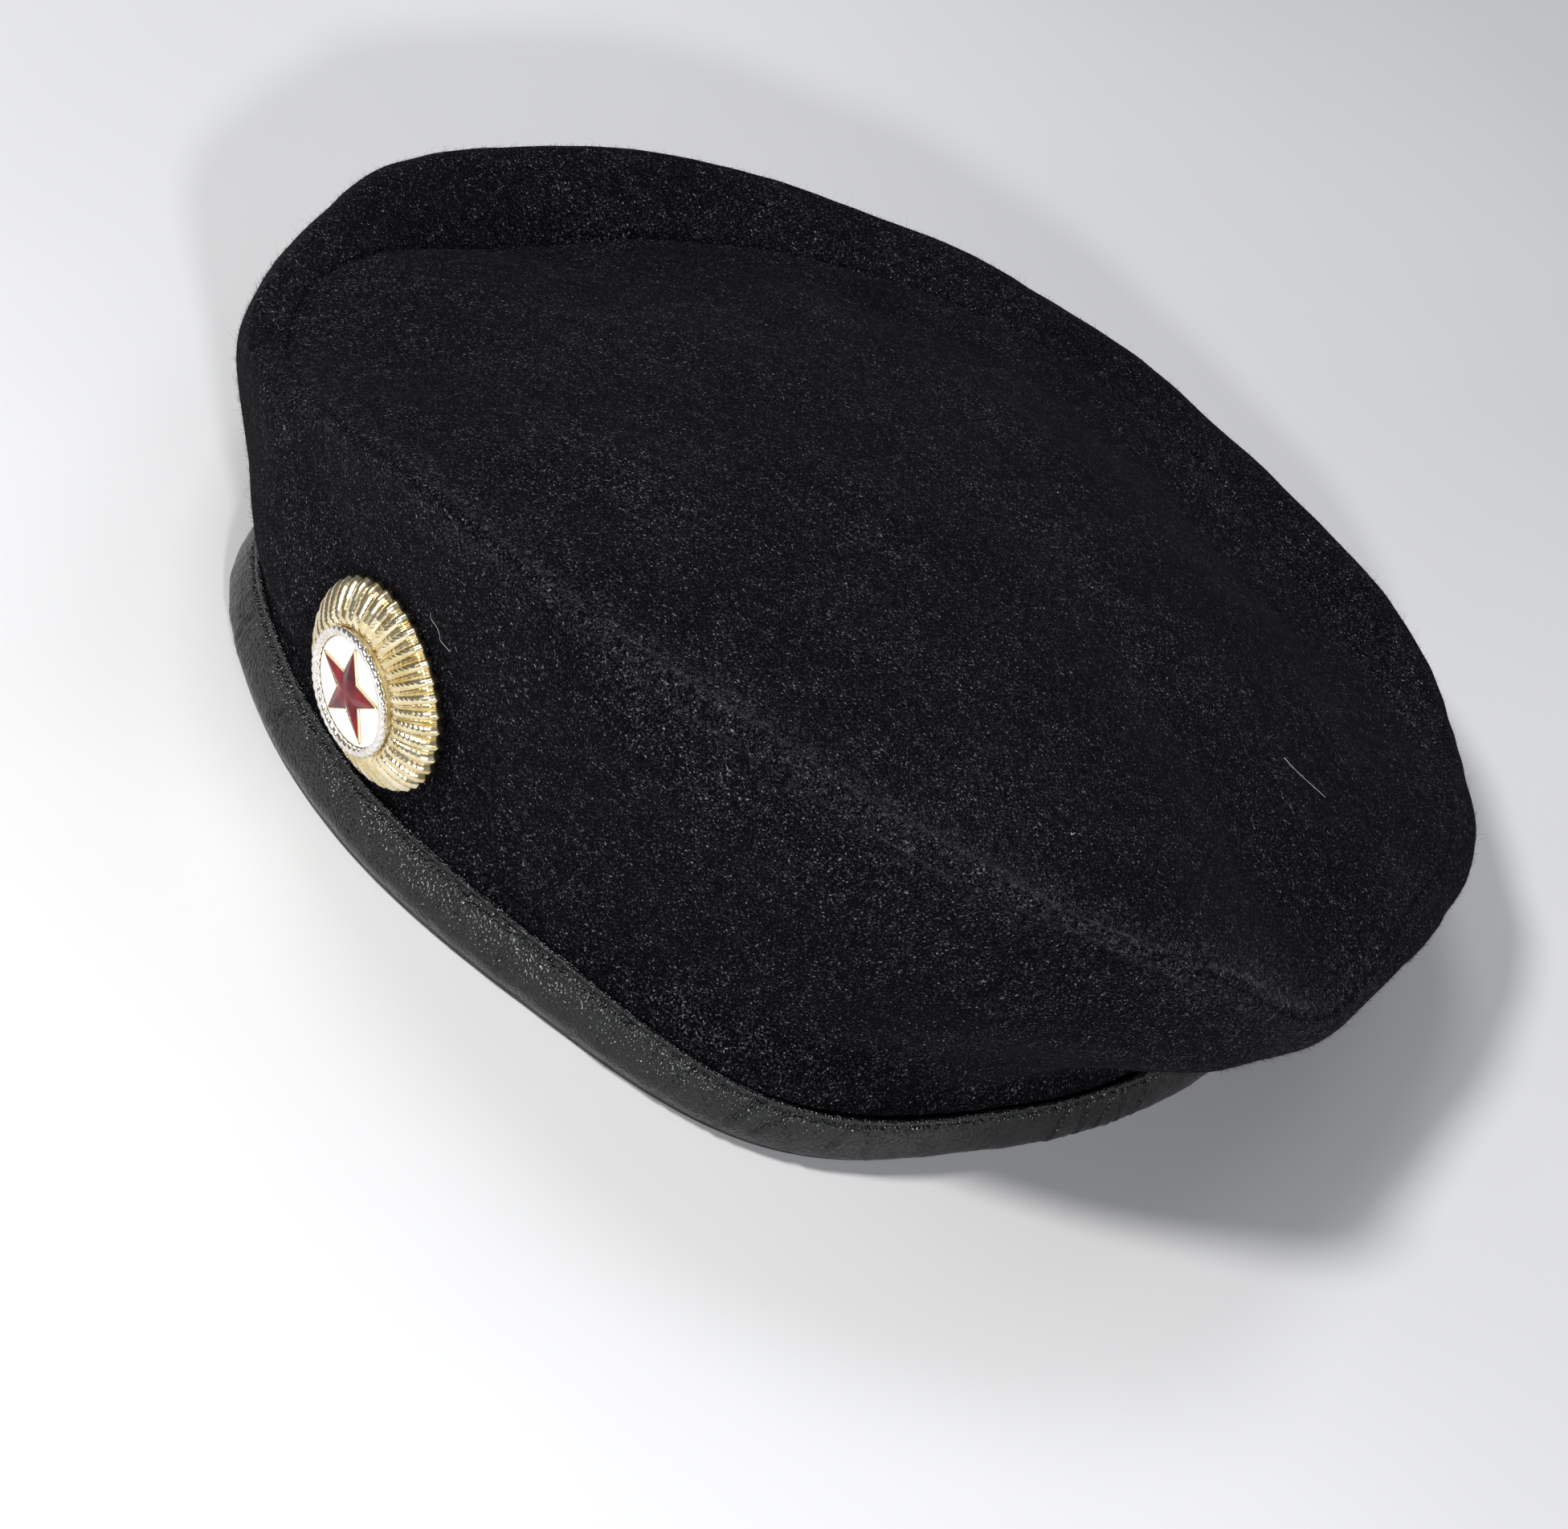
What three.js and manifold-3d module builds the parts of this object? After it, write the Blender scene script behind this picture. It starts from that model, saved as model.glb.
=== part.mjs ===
// Soft military beret of felt, bound with leather, with a sunburst cockade on its front.
// Millimetres, +Z up. The wearer looks along -Y and the wearer's left is +X.
// The binding's lower edge is flat and lies on z = 0.

import * as THREE from 'three';
import { mergeVertices } from 'three/addons/utils/BufferGeometryUtils.js';
import Module from 'manifold-3d';

// Driving sizes

const HEAD_RADIUS = 93;
const CROWN_RADIUS = 124;
const CROWN_HEIGHT = 80;
const FELT = 1.8;
const LEATHER = 1;
const BINDING_HEIGHT = 13.4;
const BINDING_EDGE_ROUND = 0.9;
const BINDING_CLEAR = 1;
const FIT_GAP = 0.3;

const COCKADE_RADIUS = 17.8;
const COCKADE_DEPTH = 7.2;
const COCKADE_METAL = 0.8;
const COCKADE_RIBS = 38;
const RIB_RELIEF = 0.45;
const RIM_SCALLOP = 0.5;
const COCKADE_RISE = 33.5;
const COCKADE_ROLL = 6.5;
const ROPE_RADIUS = 10;
const ROPE_THICK = 1.5;
const PLATE_THICK = 0.7;
const STAR_RADIUS = 8.5;
const STAR_THICK = 0.7;
const STAR_WAIST = 0.4;
const POST_RADIUS = 1.5;
const POST_WASHER_RADIUS = 6;
const POST_WASHER_THICK = 1.2;

// Fineness of the faceted solids

const CROWN_STEPS = 72;
const RIM_SIDES = 48;
const POST_SIDES = 24;

// Degrees to each side of the front in which the cockade touches the felt
const FRONT_SPAN = 15;

// Bends of a cockade ray, as shares of its way out and of the cockade's inner height
const RAY_SHOULDER = { out: 0.35, up: 0.84 };
const RAY_KNEE = { out: 0.7, up: 0.52 };

// Corner cut of the binding's lower edge, a share of its rounding
const EDGE_CORNER = 0.3;

// The crown's folds, a row for each turn about the head from the front to the wearer's left.
// Turns are degrees. band is a share of HEAD_RADIUS and lean of BINDING_HEIGHT. Each Out is a
// share of the crown's reach past the head and each Up a share of its height over the binding.
// dip is how far the top panel sinks inside its seam, a share of that height too.

const FOLD_COLUMNS = [
  'turn', 'band', 'lean', 'tuckOut', 'tuckUp', 'creaseOut', 'creaseUp',
  'bellyOut', 'bellyUp', 'crestOut', 'crestUp', 'seamOut', 'seamUp', 'dip',
];
const FOLDS = [
  [0, 1.080, 0.08, 0.01, 0.06, 0.04, 0.14, 0.23, 0.48, 0.44, 0.73, 0.59, 0.92, 0.00],
  [25, 1.052, 0.09, 0.01, 0.03, 0.03, 0.08, 0.34, 0.45, 0.61, 0.76, 0.71, 1.01, 0.00],
  [50, 1.084, 0.35, 0.12, 0.06, 0.04, 0.16, 0.31, 0.45, 0.51, 0.73, 0.61, 0.95, 0.00],
  [75, 0.952, 0.27, 0.05, 0.09, 0.30, 0.25, 0.68, 0.43, 0.84, 0.64, 0.88, 0.78, 0.00],
  [100, 0.903, 0.12, 0.00, 0.09, 0.37, 0.16, 0.59, 0.25, 0.72, 0.36, 0.72, 0.45, 0.01],
  [125, 0.928, 0.08, 0.07, 0.08, 0.40, 0.14, 0.52, 0.23, 0.58, 0.34, 0.45, 0.42, 0.02],
  [150, 1.006, 0.08, 0.13, 0.06, 0.47, 0.09, 0.72, 0.12, 0.78, 0.25, 0.55, 0.33, 0.04],
  [180, 1.072, 0.08, 0.20, 0.03, 0.67, 0.03, 1.12, 0.09, 1.05, 0.25, 0.48, 0.26, 0.06],
  [210, 1.022, 0.08, 0.27, 0.03, 0.93, 0.03, 1.43, 0.16, 1.30, 0.33, 0.67, 0.37, 0.05],
  [240, 0.950, 0.08, 0.33, 0.05, 1.07, 0.06, 1.68, 0.20, 1.52, 0.37, 0.88, 0.33, 0.02],
  [270, 0.922, 0.08, 0.33, 0.06, 1.00, 0.08, 1.63, 0.19, 1.47, 0.34, 0.83, 0.25, 0.00],
  [300, 0.994, 0.08, 0.23, 0.06, 0.60, 0.08, 0.95, 0.22, 0.88, 0.39, 0.65, 0.36, 0.00],
  [325, 1.100, 0.04, 0.07, 0.05, 0.20, 0.12, 0.43, 0.33, 0.50, 0.48, 0.30, 0.51, 0.00],
  [345, 1.094, 0.04, 0.03, 0.05, 0.10, 0.14, 0.27, 0.45, 0.42, 0.65, 0.45, 0.75, 0.00],
];

// Points between two rows of the wall: binding to tuck, tuck to crease, and so on to the seam
const WALL_STEPS = [1, 2, 3, 3, 3];

// Height of the top panel's middle, a share of the crown's height over the binding
const PANEL_MIDDLE_UP = 0.8273;

// Rings of the top panel, as shares of the way from the middle to the seam
const PANEL_SHARES = [0.15, 0.3, 0.45, 0.58, 0.7, 0.8, 0.88, 0.95, 1];
const DIP_PLACE = 0.8;
const DIP_WIDTH = 0.14;

const wasm = await Module();
wasm.setup();

// Smooth closed interpolation

function foldValue(name, turn) {
  const column = FOLD_COLUMNS.indexOf(name);
  const count = FOLDS.length;
  const at = (i) => {
    const lap = Math.floor(i / count);
    const row = FOLDS[i - lap * count];
    return { turn: row[0] + 360 * lap, value: row[column] };
  };
  const slopeAt = (i) => {
    const before = at(i - 1);
    const here = at(i);
    const after = at(i + 1);
    const stepBack = here.turn - before.turn;
    const stepOn = after.turn - here.turn;
    const riseBack = (here.value - before.value) / stepBack;
    const riseOn = (after.value - here.value) / stepOn;
    return (riseBack * stepOn + riseOn * stepBack) / (stepBack + stepOn);
  };
  let i = 0;
  while (i < count - 1 && FOLDS[i + 1][0] <= turn) {
    i += 1;
  }
  const start = at(i);
  const end = at(i + 1);
  const span = end.turn - start.turn;
  const t = (turn - start.turn) / span;
  const keep = 1 - t;
  return (
    start.value * keep * keep * (1 + 2 * t)
    + end.value * t * t * (3 - 2 * t)
    + slopeAt(i) * span * t * keep * keep
    - slopeAt(i + 1) * span * keep * t * t
  );
}

function catmullRom(points, steps) {
  const first = points[0].clone().multiplyScalar(2).sub(points[1]);
  const last = points[points.length - 1].clone().multiplyScalar(2).sub(points[points.length - 2]);
  const all = [first, ...points, last];
  const out = [];
  steps.forEach((count, k) => {
    const [a, b, c, d] = all.slice(k, k + 4);
    for (let j = 0; j < count; j += 1) {
      const t = j / count;
      const spline = (p) => 0.5 * (
        2 * b[p] + (c[p] - a[p]) * t
        + (2 * a[p] - 5 * b[p] + 4 * c[p] - d[p]) * t ** 2
        + (3 * b[p] - a[p] - 3 * c[p] + d[p]) * t ** 3
      );
      out.push(new THREE.Vector2(spline('x'), spline('y')));
    }
  });
  out.push(points[points.length - 1].clone());
  return out;
}

// A section point has x as its distance from the head's axis and y as its height

function placeAround(point, turn) {
  const angle = THREE.MathUtils.degToRad(turn);
  return new THREE.Vector3(point.x * Math.sin(angle), -point.x * Math.cos(angle), point.y);
}

const reach = CROWN_RADIUS - HEAD_RADIUS;
const rise = CROWN_HEIGHT - BINDING_HEIGHT;
const panelMiddle = BINDING_HEIGHT + PANEL_MIDDLE_UP * rise;
const bandRadius = (turn) => HEAD_RADIUS * foldValue('band', turn);
const leanAt = (turn, height) => foldValue('lean', turn) * height;

function foldPoint(name, turn) {
  return new THREE.Vector2(
    bandRadius(turn) + reach * foldValue(name + 'Out', turn),
    BINDING_HEIGHT + rise * foldValue(name + 'Up', turn),
  );
}

// Bodies made of rings of points. An open stack of rings is closed by a point at each end

function ringBody(rings, startPoint, endPoint) {
  const count = rings[0].length;
  const points = rings.flat();
  const positions = points.flatMap((p) => p.toArray());
  const faces = [];
  const closed = startPoint === undefined;
  const bands = closed ? rings.length : rings.length - 1;
  for (let i = 0; i < bands; i += 1) {
    const low = i * count;
    const high = ((i + 1) % rings.length) * count;
    for (let j = 0; j < count; j += 1) {
      const next = (j + 1) % count;
      faces.push(...splitQuad(points, low + j, low + next, high + next, high + j));
    }
  }
  if (!closed) {
    const start = rings.length * count;
    const end = start + 1;
    const top = (rings.length - 1) * count;
    positions.push(...startPoint.toArray(), ...endPoint.toArray());
    for (let j = 0; j < count; j += 1) {
      const next = (j + 1) % count;
      faces.push(start, next, j);
      faces.push(end, top + j, top + next);
    }
  }
  const geometry = new THREE.BufferGeometry();
  geometry.setAttribute('position', new THREE.Float32BufferAttribute(positions, 3));
  geometry.setIndex(faces);
  return facedOut(geometry);
}

// Two triangles of a quad, split along its shorter diagonal
function splitQuad(points, a, b, c, d) {
  const straight = points[a].distanceTo(points[c]) <= points[b].distanceTo(points[d]);
  return straight ? [a, b, c, a, c, d] : [a, b, d, b, c, d];
}

function facedOut(geometry) {
  const position = geometry.getAttribute('position');
  const index = geometry.getIndex();
  const corner = (k) => new THREE.Vector3().fromBufferAttribute(position, index.getX(k));
  let volume = 0;
  for (let k = 0; k < index.count; k += 3) {
    volume += corner(k).dot(corner(k + 1).cross(corner(k + 2)));
  }
  if (volume < 0) {
    for (let k = 0; k < index.count; k += 3) {
      const keep = index.getX(k + 1);
      index.setX(k + 1, index.getX(k + 2));
      index.setX(k + 2, keep);
    }
  }
  return geometry;
}

// Each section is a list of points of one turn; the rings run through like points of all turns
function ringsOf(sections) {
  return sections[0].map((_, k) => sections.map((section) => section[k]));
}

function crownTurns() {
  return Array.from({ length: CROWN_STEPS }, (_, k) => (360 * k) / CROWN_STEPS);
}

// The line of the felt wall's outer face, from inside the binding up to the seam

const clothOutset = LEATHER + FIT_GAP;

function wallLine(turn) {
  const band = bandRadius(turn);
  const inBinding = (height) => new THREE.Vector2(
    band - clothOutset + leanAt(turn, Math.min(height, BINDING_HEIGHT)),
    height,
  );
  const folds = [
    inBinding(BINDING_HEIGHT + BINDING_CLEAR),
    foldPoint('tuck', turn),
    foldPoint('crease', turn),
    foldPoint('belly', turn),
    foldPoint('crest', turn),
    foldPoint('seam', turn),
  ];
  folds[1].y = Math.max(folds[1].y, BINDING_HEIGHT + 2 * BINDING_CLEAR);
  return [inBinding(clothOutset), inBinding(BINDING_HEIGHT), ...catmullRom(folds, WALL_STEPS)];
}

// The top panel's outer face: a tilted plane through its middle, bent down or up to its seam

function firstHarmonic() {
  const turns = crownTurns();
  let along = 0;
  let across = 0;
  turns.forEach((turn) => {
    const angle = THREE.MathUtils.degToRad(turn);
    const height = foldPoint('seam', turn).y;
    along += (2 * height * Math.cos(angle)) / turns.length;
    across += (2 * height * Math.sin(angle)) / turns.length;
  });
  return { along, across };
}

const tilt = firstHarmonic();

function panelPoint(turn, share) {
  const angle = THREE.MathUtils.degToRad(turn);
  const seam = foldPoint('seam', turn);
  const plane = tilt.along * Math.cos(angle) + tilt.across * Math.sin(angle);
  const bend = seam.y - panelMiddle - plane;
  const dipShape = Math.exp(-(((share - DIP_PLACE) / DIP_WIDTH) ** 2));
  const dipEnd = Math.exp(-(((1 - DIP_PLACE) / DIP_WIDTH) ** 2));
  const dip = rise * foldValue('dip', turn) * (dipShape - dipEnd * share);
  const height = panelMiddle + plane * share + bend * share ** 2 - dip;
  return new THREE.Vector2(seam.x * share, height);
}

// Inner face of a sheet, one thickness in from its outer line

function inwardNormal(from, to) {
  const along = to.clone().sub(from).normalize();
  return new THREE.Vector2(-along.y, along.x);
}

function innerPoint(before, point, after) {
  const normal = inwardNormal(before, point).add(inwardNormal(point, after)).normalize();
  const halfTurn = normal.dot(inwardNormal(before, point));
  return point.clone().addScaledVector(normal, FELT / halfTurn);
}

// The wall and the panel meet in a mitre, with a gap between their cut edges

function seamMitre(turn) {
  const wall = wallLine(turn);
  const beside = wall[wall.length - 2];
  const seam = foldPoint('seam', turn);
  const inside = panelPoint(turn, PANEL_SHARES[PANEL_SHARES.length - 2]);
  const inner = innerPoint(beside, seam, inside);
  const across = inner.clone().sub(seam).normalize();
  const toWall = new THREE.Vector2(across.y, -across.x);
  if (toWall.dot(beside.clone().sub(seam)) < 0) {
    toWall.negate();
  }
  return { seam, inner, shift: toWall.multiplyScalar(FIT_GAP / 2) };
}

function wallSection(turn) {
  const line = wallLine(turn);
  const last = line.length - 1;
  const mitre = seamMitre(turn);
  const outer = line.slice(0, last);
  const inner = outer.map((point, k) => {
    const before = k === 0 ? point.clone().sub(line[1]).add(point) : line[k - 1];
    return innerPoint(before, point, line[k + 1]);
  });
  outer.push(mitre.seam.clone().add(mitre.shift));
  inner.push(mitre.inner.clone().add(mitre.shift));
  return [...outer, ...inner.reverse()].map((point) => placeAround(point, turn));
}

function sideWall() {
  return ringBody(ringsOf(crownTurns().map(wallSection)));
}

function panelSection(turn) {
  const mitre = seamMitre(turn);
  const outer = PANEL_SHARES.slice(0, -1).map((share) => panelPoint(turn, share));
  const inner = outer.map((point, k) => {
    const next = k + 1 < outer.length ? outer[k + 1] : mitre.seam;
    const slope = (next.y - point.y) / (next.x - point.x);
    return new THREE.Vector2(point.x, point.y - FELT * Math.hypot(1, slope));
  });
  outer.push(mitre.seam.clone().sub(mitre.shift));
  inner.push(mitre.inner.clone().sub(mitre.shift));
  return [...outer, ...inner.reverse()].map((point) => placeAround(point, turn));
}

function topPanel() {
  const slope = Math.hypot(tilt.along, tilt.across) / CROWN_RADIUS;
  const middle = new THREE.Vector3(0, 0, panelMiddle);
  const under = new THREE.Vector3(0, 0, panelMiddle - FELT * Math.hypot(1, slope));
  return ringBody(ringsOf(crownTurns().map(panelSection)), middle, under);
}

// Leather binding folded round the wall's lower edge, flat below

function bindingSection(turn) {
  const width = 2 * clothOutset + FELT;
  const round = BINDING_EDGE_ROUND;
  const shape = [
    [-round, 0],
    [-EDGE_CORNER * round, EDGE_CORNER * round],
    [0, round],
    [0.4 * round, BINDING_HEIGHT / 2],
    [0, BINDING_HEIGHT - LEATHER / 2],
    [-LEATHER / 2, BINDING_HEIGHT],
    [-LEATHER, BINDING_HEIGHT - LEATHER / 2],
    [-LEATHER, LEATHER],
    [LEATHER - width, LEATHER],
    [LEATHER - width, BINDING_HEIGHT - LEATHER / 2],
    [LEATHER / 2 - width, BINDING_HEIGHT],
    [-width, BINDING_HEIGHT - LEATHER / 2],
    [-width, round],
    [EDGE_CORNER * round - width, EDGE_CORNER * round],
    [round - width, 0],
  ];
  return shape.map(([out, height]) => {
    const distance = bandRadius(turn) + out + leanAt(turn, height);
    return placeAround(new THREE.Vector2(distance, height), turn);
  });
}

function edgeBinding() {
  return ringBody(ringsOf(crownTurns().map(bindingSection)));
}

// The cockade's own frame: X to the wearer's left, Y up the wall and Z straight out of it

function cockadeFrame() {
  const line = wallLine(0);
  let k = 1;
  while (line[k + 1].y < COCKADE_RISE) {
    k += 1;
  }
  const low = line[k];
  const high = line[k + 1];
  const share = (COCKADE_RISE - low.y) / (high.y - low.y);
  const seat = placeAround(low.clone().lerp(high, share), 0);
  const up = placeAround(high, 0).sub(placeAround(low, 0)).normalize();
  const left = new THREE.Vector3(1, 0, 0);
  const out = left.clone().cross(up);
  const frame = new THREE.Matrix4().makeBasis(left, up, out).setPosition(seat);
  const back = frame.clone().invert();
  const proud = feltUnder(back, COCKADE_RADIUS + RIM_SCALLOP).outer;
  const hollow = feltUnder(back, POST_WASHER_RADIUS).inner;
  const lift = new THREE.Matrix4().makeTranslation(0, 0, proud + FIT_GAP);
  const roll = new THREE.Matrix4().makeRotationZ(THREE.MathUtils.degToRad(COCKADE_ROLL));
  return { matrix: frame.multiply(lift).multiply(roll), hollow: hollow - proud - FIT_GAP };
}

// The felt under a disc of the cockade's frame: its outer face's highest point, and its inner
// face's lowest, with what flat facets cut off a round wall

function feltUnder(toFrame, radius) {
  const facetSag = (HEAD_RADIUS * (2 * Math.PI / CROWN_STEPS) ** 2) / 8;
  const found = { outer: -Infinity, inner: Infinity };
  for (let turn = -FRONT_SPAN; turn <= FRONT_SPAN; turn += 1) {
    const section = wallSection((turn + 360) % 360);
    const half = section.length / 2;
    section.slice(0, -1).forEach((point, k) => {
      for (let share = 0; share < 1; share += 0.25) {
        const local = point.clone().lerp(section[k + 1], share).applyMatrix4(toFrame);
        if (Math.hypot(local.x, local.y) > radius || k === half - 1) {
          continue;
        }
        if (k < half) {
          found.outer = Math.max(found.outer, local.z);
        } else {
          found.inner = Math.min(found.inner, local.z - facetSag);
        }
      }
    });
  }
  return found;
}

// Stamped metal base: ribbed rays falling to a scalloped rim, and a rope ring round a floor

const ropeInner = ROPE_RADIUS - ROPE_THICK / 2;
const ropeOuter = ROPE_RADIUS + ROPE_THICK / 2;
const floorHeight = COCKADE_DEPTH - PLATE_THICK - STAR_THICK - 2 * FIT_GAP;

function baseSection(k) {
  const angle = (Math.PI * k) / COCKADE_RIBS;
  const relief = k % 2 === 0 ? RIB_RELIEF : 0;
  const rim = COCKADE_RADIUS - (k % 2 === 0 ? 0 : RIM_SCALLOP);
  const span = rim - ropeOuter;
  const ray = (bend) => [ropeOuter + bend.out * span, bend.up * floorHeight];
  const [shoulder, shoulderUp] = ray(RAY_SHOULDER);
  const [knee, kneeUp] = ray(RAY_KNEE);
  const outer = [
    [ropeInner, floorHeight, 0],
    [ropeInner, COCKADE_DEPTH - ROPE_THICK / 4, 0],
    [ROPE_RADIUS, COCKADE_DEPTH, 0],
    [ropeOuter, floorHeight, 0],
    [shoulder, shoulderUp, 1],
    [knee, kneeUp, 1],
    [rim, COCKADE_METAL, 0.5],
    [rim, 0, 0],
  ];
  const under = [
    [rim - COCKADE_METAL, 0, 0],
    [knee - COCKADE_METAL, kneeUp - COCKADE_METAL, 0],
    [shoulder - COCKADE_METAL, shoulderUp - COCKADE_METAL, 0],
    [ropeInner, floorHeight - COCKADE_METAL, 0],
  ];
  return [...outer, ...under].map(([distance, height, ribbed]) => new THREE.Vector3(
    distance * Math.cos(angle),
    distance * Math.sin(angle),
    height + relief * ribbed,
  ));
}

function cockadeBase() {
  const sections = Array.from({ length: 2 * COCKADE_RIBS }, (_, k) => baseSection(k));
  const floorMiddle = new THREE.Vector3(0, 0, floorHeight);
  const underMiddle = new THREE.Vector3(0, 0, floorHeight - COCKADE_METAL);
  return ringBody(ringsOf(sections), floorMiddle, underMiddle);
}

function cockadePlate() {
  const radius = ropeInner - FIT_GAP;
  const plate = new THREE.CylinderGeometry(radius, radius, PLATE_THICK, RIM_SIDES);
  plate.rotateX(Math.PI / 2);
  return plate.translate(0, 0, floorHeight + FIT_GAP + PLATE_THICK / 2);
}

function cockadeStar() {
  const outline = new THREE.Shape();
  for (let k = 0; k < 10; k += 1) {
    const radius = (k % 2 === 0 ? 1 : STAR_WAIST) * STAR_RADIUS;
    const angle = Math.PI / 2 + (k * Math.PI) / 5;
    const corner = [radius * Math.cos(angle), radius * Math.sin(angle)];
    if (k === 0) {
      outline.moveTo(...corner);
    } else {
      outline.lineTo(...corner);
    }
  }
  outline.closePath();
  const star = new THREE.ExtrudeGeometry(outline, { depth: STAR_THICK, bevelEnabled: false });
  return star.translate(0, 0, floorHeight + PLATE_THICK + 2 * FIT_GAP);
}

// One plain post that holds the cockade through a hole in the felt, with a washer inside

function cockadePost(hollow) {
  const shaftTop = floorHeight - COCKADE_METAL - FIT_GAP;
  const washerTop = hollow - FIT_GAP;
  const profile = [
    [0, washerTop - POST_WASHER_THICK],
    [POST_WASHER_RADIUS, washerTop - POST_WASHER_THICK],
    [POST_WASHER_RADIUS, washerTop],
    [POST_RADIUS, washerTop],
    [POST_RADIUS, shaftTop],
    [0, shaftTop],
  ].map(([distance, height]) => new THREE.Vector2(distance, height));
  return new THREE.LatheGeometry(profile, POST_SIDES).rotateX(Math.PI / 2);
}

function postHole(frame) {
  const radius = POST_RADIUS + FIT_GAP;
  const long = 8 * FELT;
  const hole = new THREE.CylinderGeometry(radius, radius, long, POST_SIDES);
  hole.rotateX(Math.PI / 2);
  return hole.applyMatrix4(frame);
}

// Boolean cut

function toSolid(geometry) {
  const bare = geometry.clone();
  bare.deleteAttribute('normal');
  bare.deleteAttribute('uv');
  const merged = mergeVertices(bare, 0.0001);
  return new wasm.Manifold(new wasm.Mesh({
    numProp: 3,
    vertProperties: new Float32Array(merged.getAttribute('position').array),
    triVerts: new Uint32Array(merged.getIndex().array),
  }));
}

function fromSolid(solid) {
  const mesh = solid.getMesh();
  const geometry = new THREE.BufferGeometry();
  geometry.setAttribute('position', new THREE.BufferAttribute(mesh.vertProperties, 3));
  geometry.setIndex(new THREE.BufferAttribute(mesh.triVerts, 1));
  return geometry;
}

// Materials

const felt = new THREE.MeshStandardMaterial({ color: 0x15141a, roughness: 0.95 });
const leather = new THREE.MeshStandardMaterial({ color: 0x1a1d1e, roughness: 0.42 });
const gilt = new THREE.MeshStandardMaterial({ color: 0xd8bf7a, roughness: 0.25, metalness: 1 });
const whiteEnamel = new THREE.MeshStandardMaterial({ color: 0xf2f0ee, roughness: 0.15 });
const redEnamel = new THREE.MeshStandardMaterial({ color: 0x7c0a16, roughness: 0.12 });

// Assembly

const group = new THREE.Group();

function add(name, geometry, material, matrix) {
  const mesh = new THREE.Mesh(geometry, material);
  mesh.name = name;
  if (matrix) {
    mesh.applyMatrix4(matrix);
  }
  group.add(mesh);
}

const cockade = cockadeFrame();
const wallBody = toSolid(sideWall()).subtract(toSolid(postHole(cockade.matrix)));

add('top_panel', topPanel(), felt);
add('side_wall', fromSolid(wallBody), felt);
add('edge_binding', edgeBinding(), leather);
add('cockade_base', cockadeBase(), gilt, cockade.matrix);
add('cockade_plate', cockadePlate(), whiteEnamel, cockade.matrix);
add('cockade_star', cockadeStar(), redEnamel, cockade.matrix);
add('cockade_post', cockadePost(cockade.hollow), gilt, cockade.matrix);

// The middle of the beret's box stands over the origin
const box = new THREE.Box3().setFromObject(group);
group.position.set(-(box.min.x + box.max.x) / 2, -(box.min.y + box.max.y) / 2, 0);
group.updateMatrixWorld(true);

export default group;
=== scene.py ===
import math

import bpy
import numpy as np
from mathutils import Matrix, Vector


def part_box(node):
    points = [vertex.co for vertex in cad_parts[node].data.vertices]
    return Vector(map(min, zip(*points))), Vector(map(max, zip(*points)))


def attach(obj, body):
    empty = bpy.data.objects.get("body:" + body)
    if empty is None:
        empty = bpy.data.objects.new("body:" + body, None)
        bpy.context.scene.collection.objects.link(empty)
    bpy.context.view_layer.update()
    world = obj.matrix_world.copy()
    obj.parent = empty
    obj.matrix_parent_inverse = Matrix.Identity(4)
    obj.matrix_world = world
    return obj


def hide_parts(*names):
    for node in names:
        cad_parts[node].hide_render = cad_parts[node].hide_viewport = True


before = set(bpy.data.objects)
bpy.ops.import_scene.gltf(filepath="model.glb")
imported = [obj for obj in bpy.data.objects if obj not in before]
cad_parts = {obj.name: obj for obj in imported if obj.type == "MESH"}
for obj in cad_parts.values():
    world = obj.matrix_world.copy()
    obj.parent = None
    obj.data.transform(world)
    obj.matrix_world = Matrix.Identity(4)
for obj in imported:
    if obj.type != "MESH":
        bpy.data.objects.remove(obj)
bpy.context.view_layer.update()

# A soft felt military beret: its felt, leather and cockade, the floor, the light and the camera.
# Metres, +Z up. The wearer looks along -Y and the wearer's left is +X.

MM = 0.001

# Sizes of the crown, the same as the frame's

HEAD_RADIUS = 93 * MM
CROWN_RADIUS = 124 * MM
CROWN_HEIGHT = 80 * MM
PANEL_MIDDLE_UP = 0.8273
FELT = 1.8 * MM
LEATHER = 1.0 * MM
BINDING_HEIGHT = 13.4 * MM
BINDING_CLEAR = 1.0 * MM
FIT_GAP = 0.3 * MM
EDGE_ROUND = 0.9 * MM

# Sizes of the cockade, the same as the frame's

COCKADE_RADIUS = 17.8 * MM
COCKADE_DEPTH = 7.2 * MM
COCKADE_METAL = 0.8 * MM
COCKADE_RIBS = 38
ROPE_RADIUS = 10 * MM
ROPE_THICK = 1.5 * MM
PLATE_THICK = 0.7 * MM
STAR_RADIUS = 8.5 * MM
STAR_THICK = 0.7 * MM
STAR_WAIST = 0.4

# Fineness of the meshes

CROWN_TURNS = 720
BINDING_TURNS = 960
WALL_STEPS = (4, 8, 14, 18, 18)
INNER_STEPS = (1, 2, 4, 4, 4)
INNER_SHARES = (0.03, 0.15, 0.3, 0.45, 0.58, 0.7, 0.8, 0.88, 0.95, 1.0)
NAP_COUNT = 36000
NAP_LONG_COUNT = 3000
NAP_SEAM_COUNT = 15000

# The rows that crowd towards the seam: their ways from it in millimetres, and the whole stretch
# that they share on the wall and on the panel

CROWDED_WAYS = (14, 11.5, 9.5, 8, 6.8, 5.8, 5, 4.3, 3.7, 3.2, 2.7, 2.2, 1.75, 1.35, 1.0, 0.7, 0.4, 0.2)
WALL_STRETCH = 18 * MM
PANEL_STRETCH = 115 * MM

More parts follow.
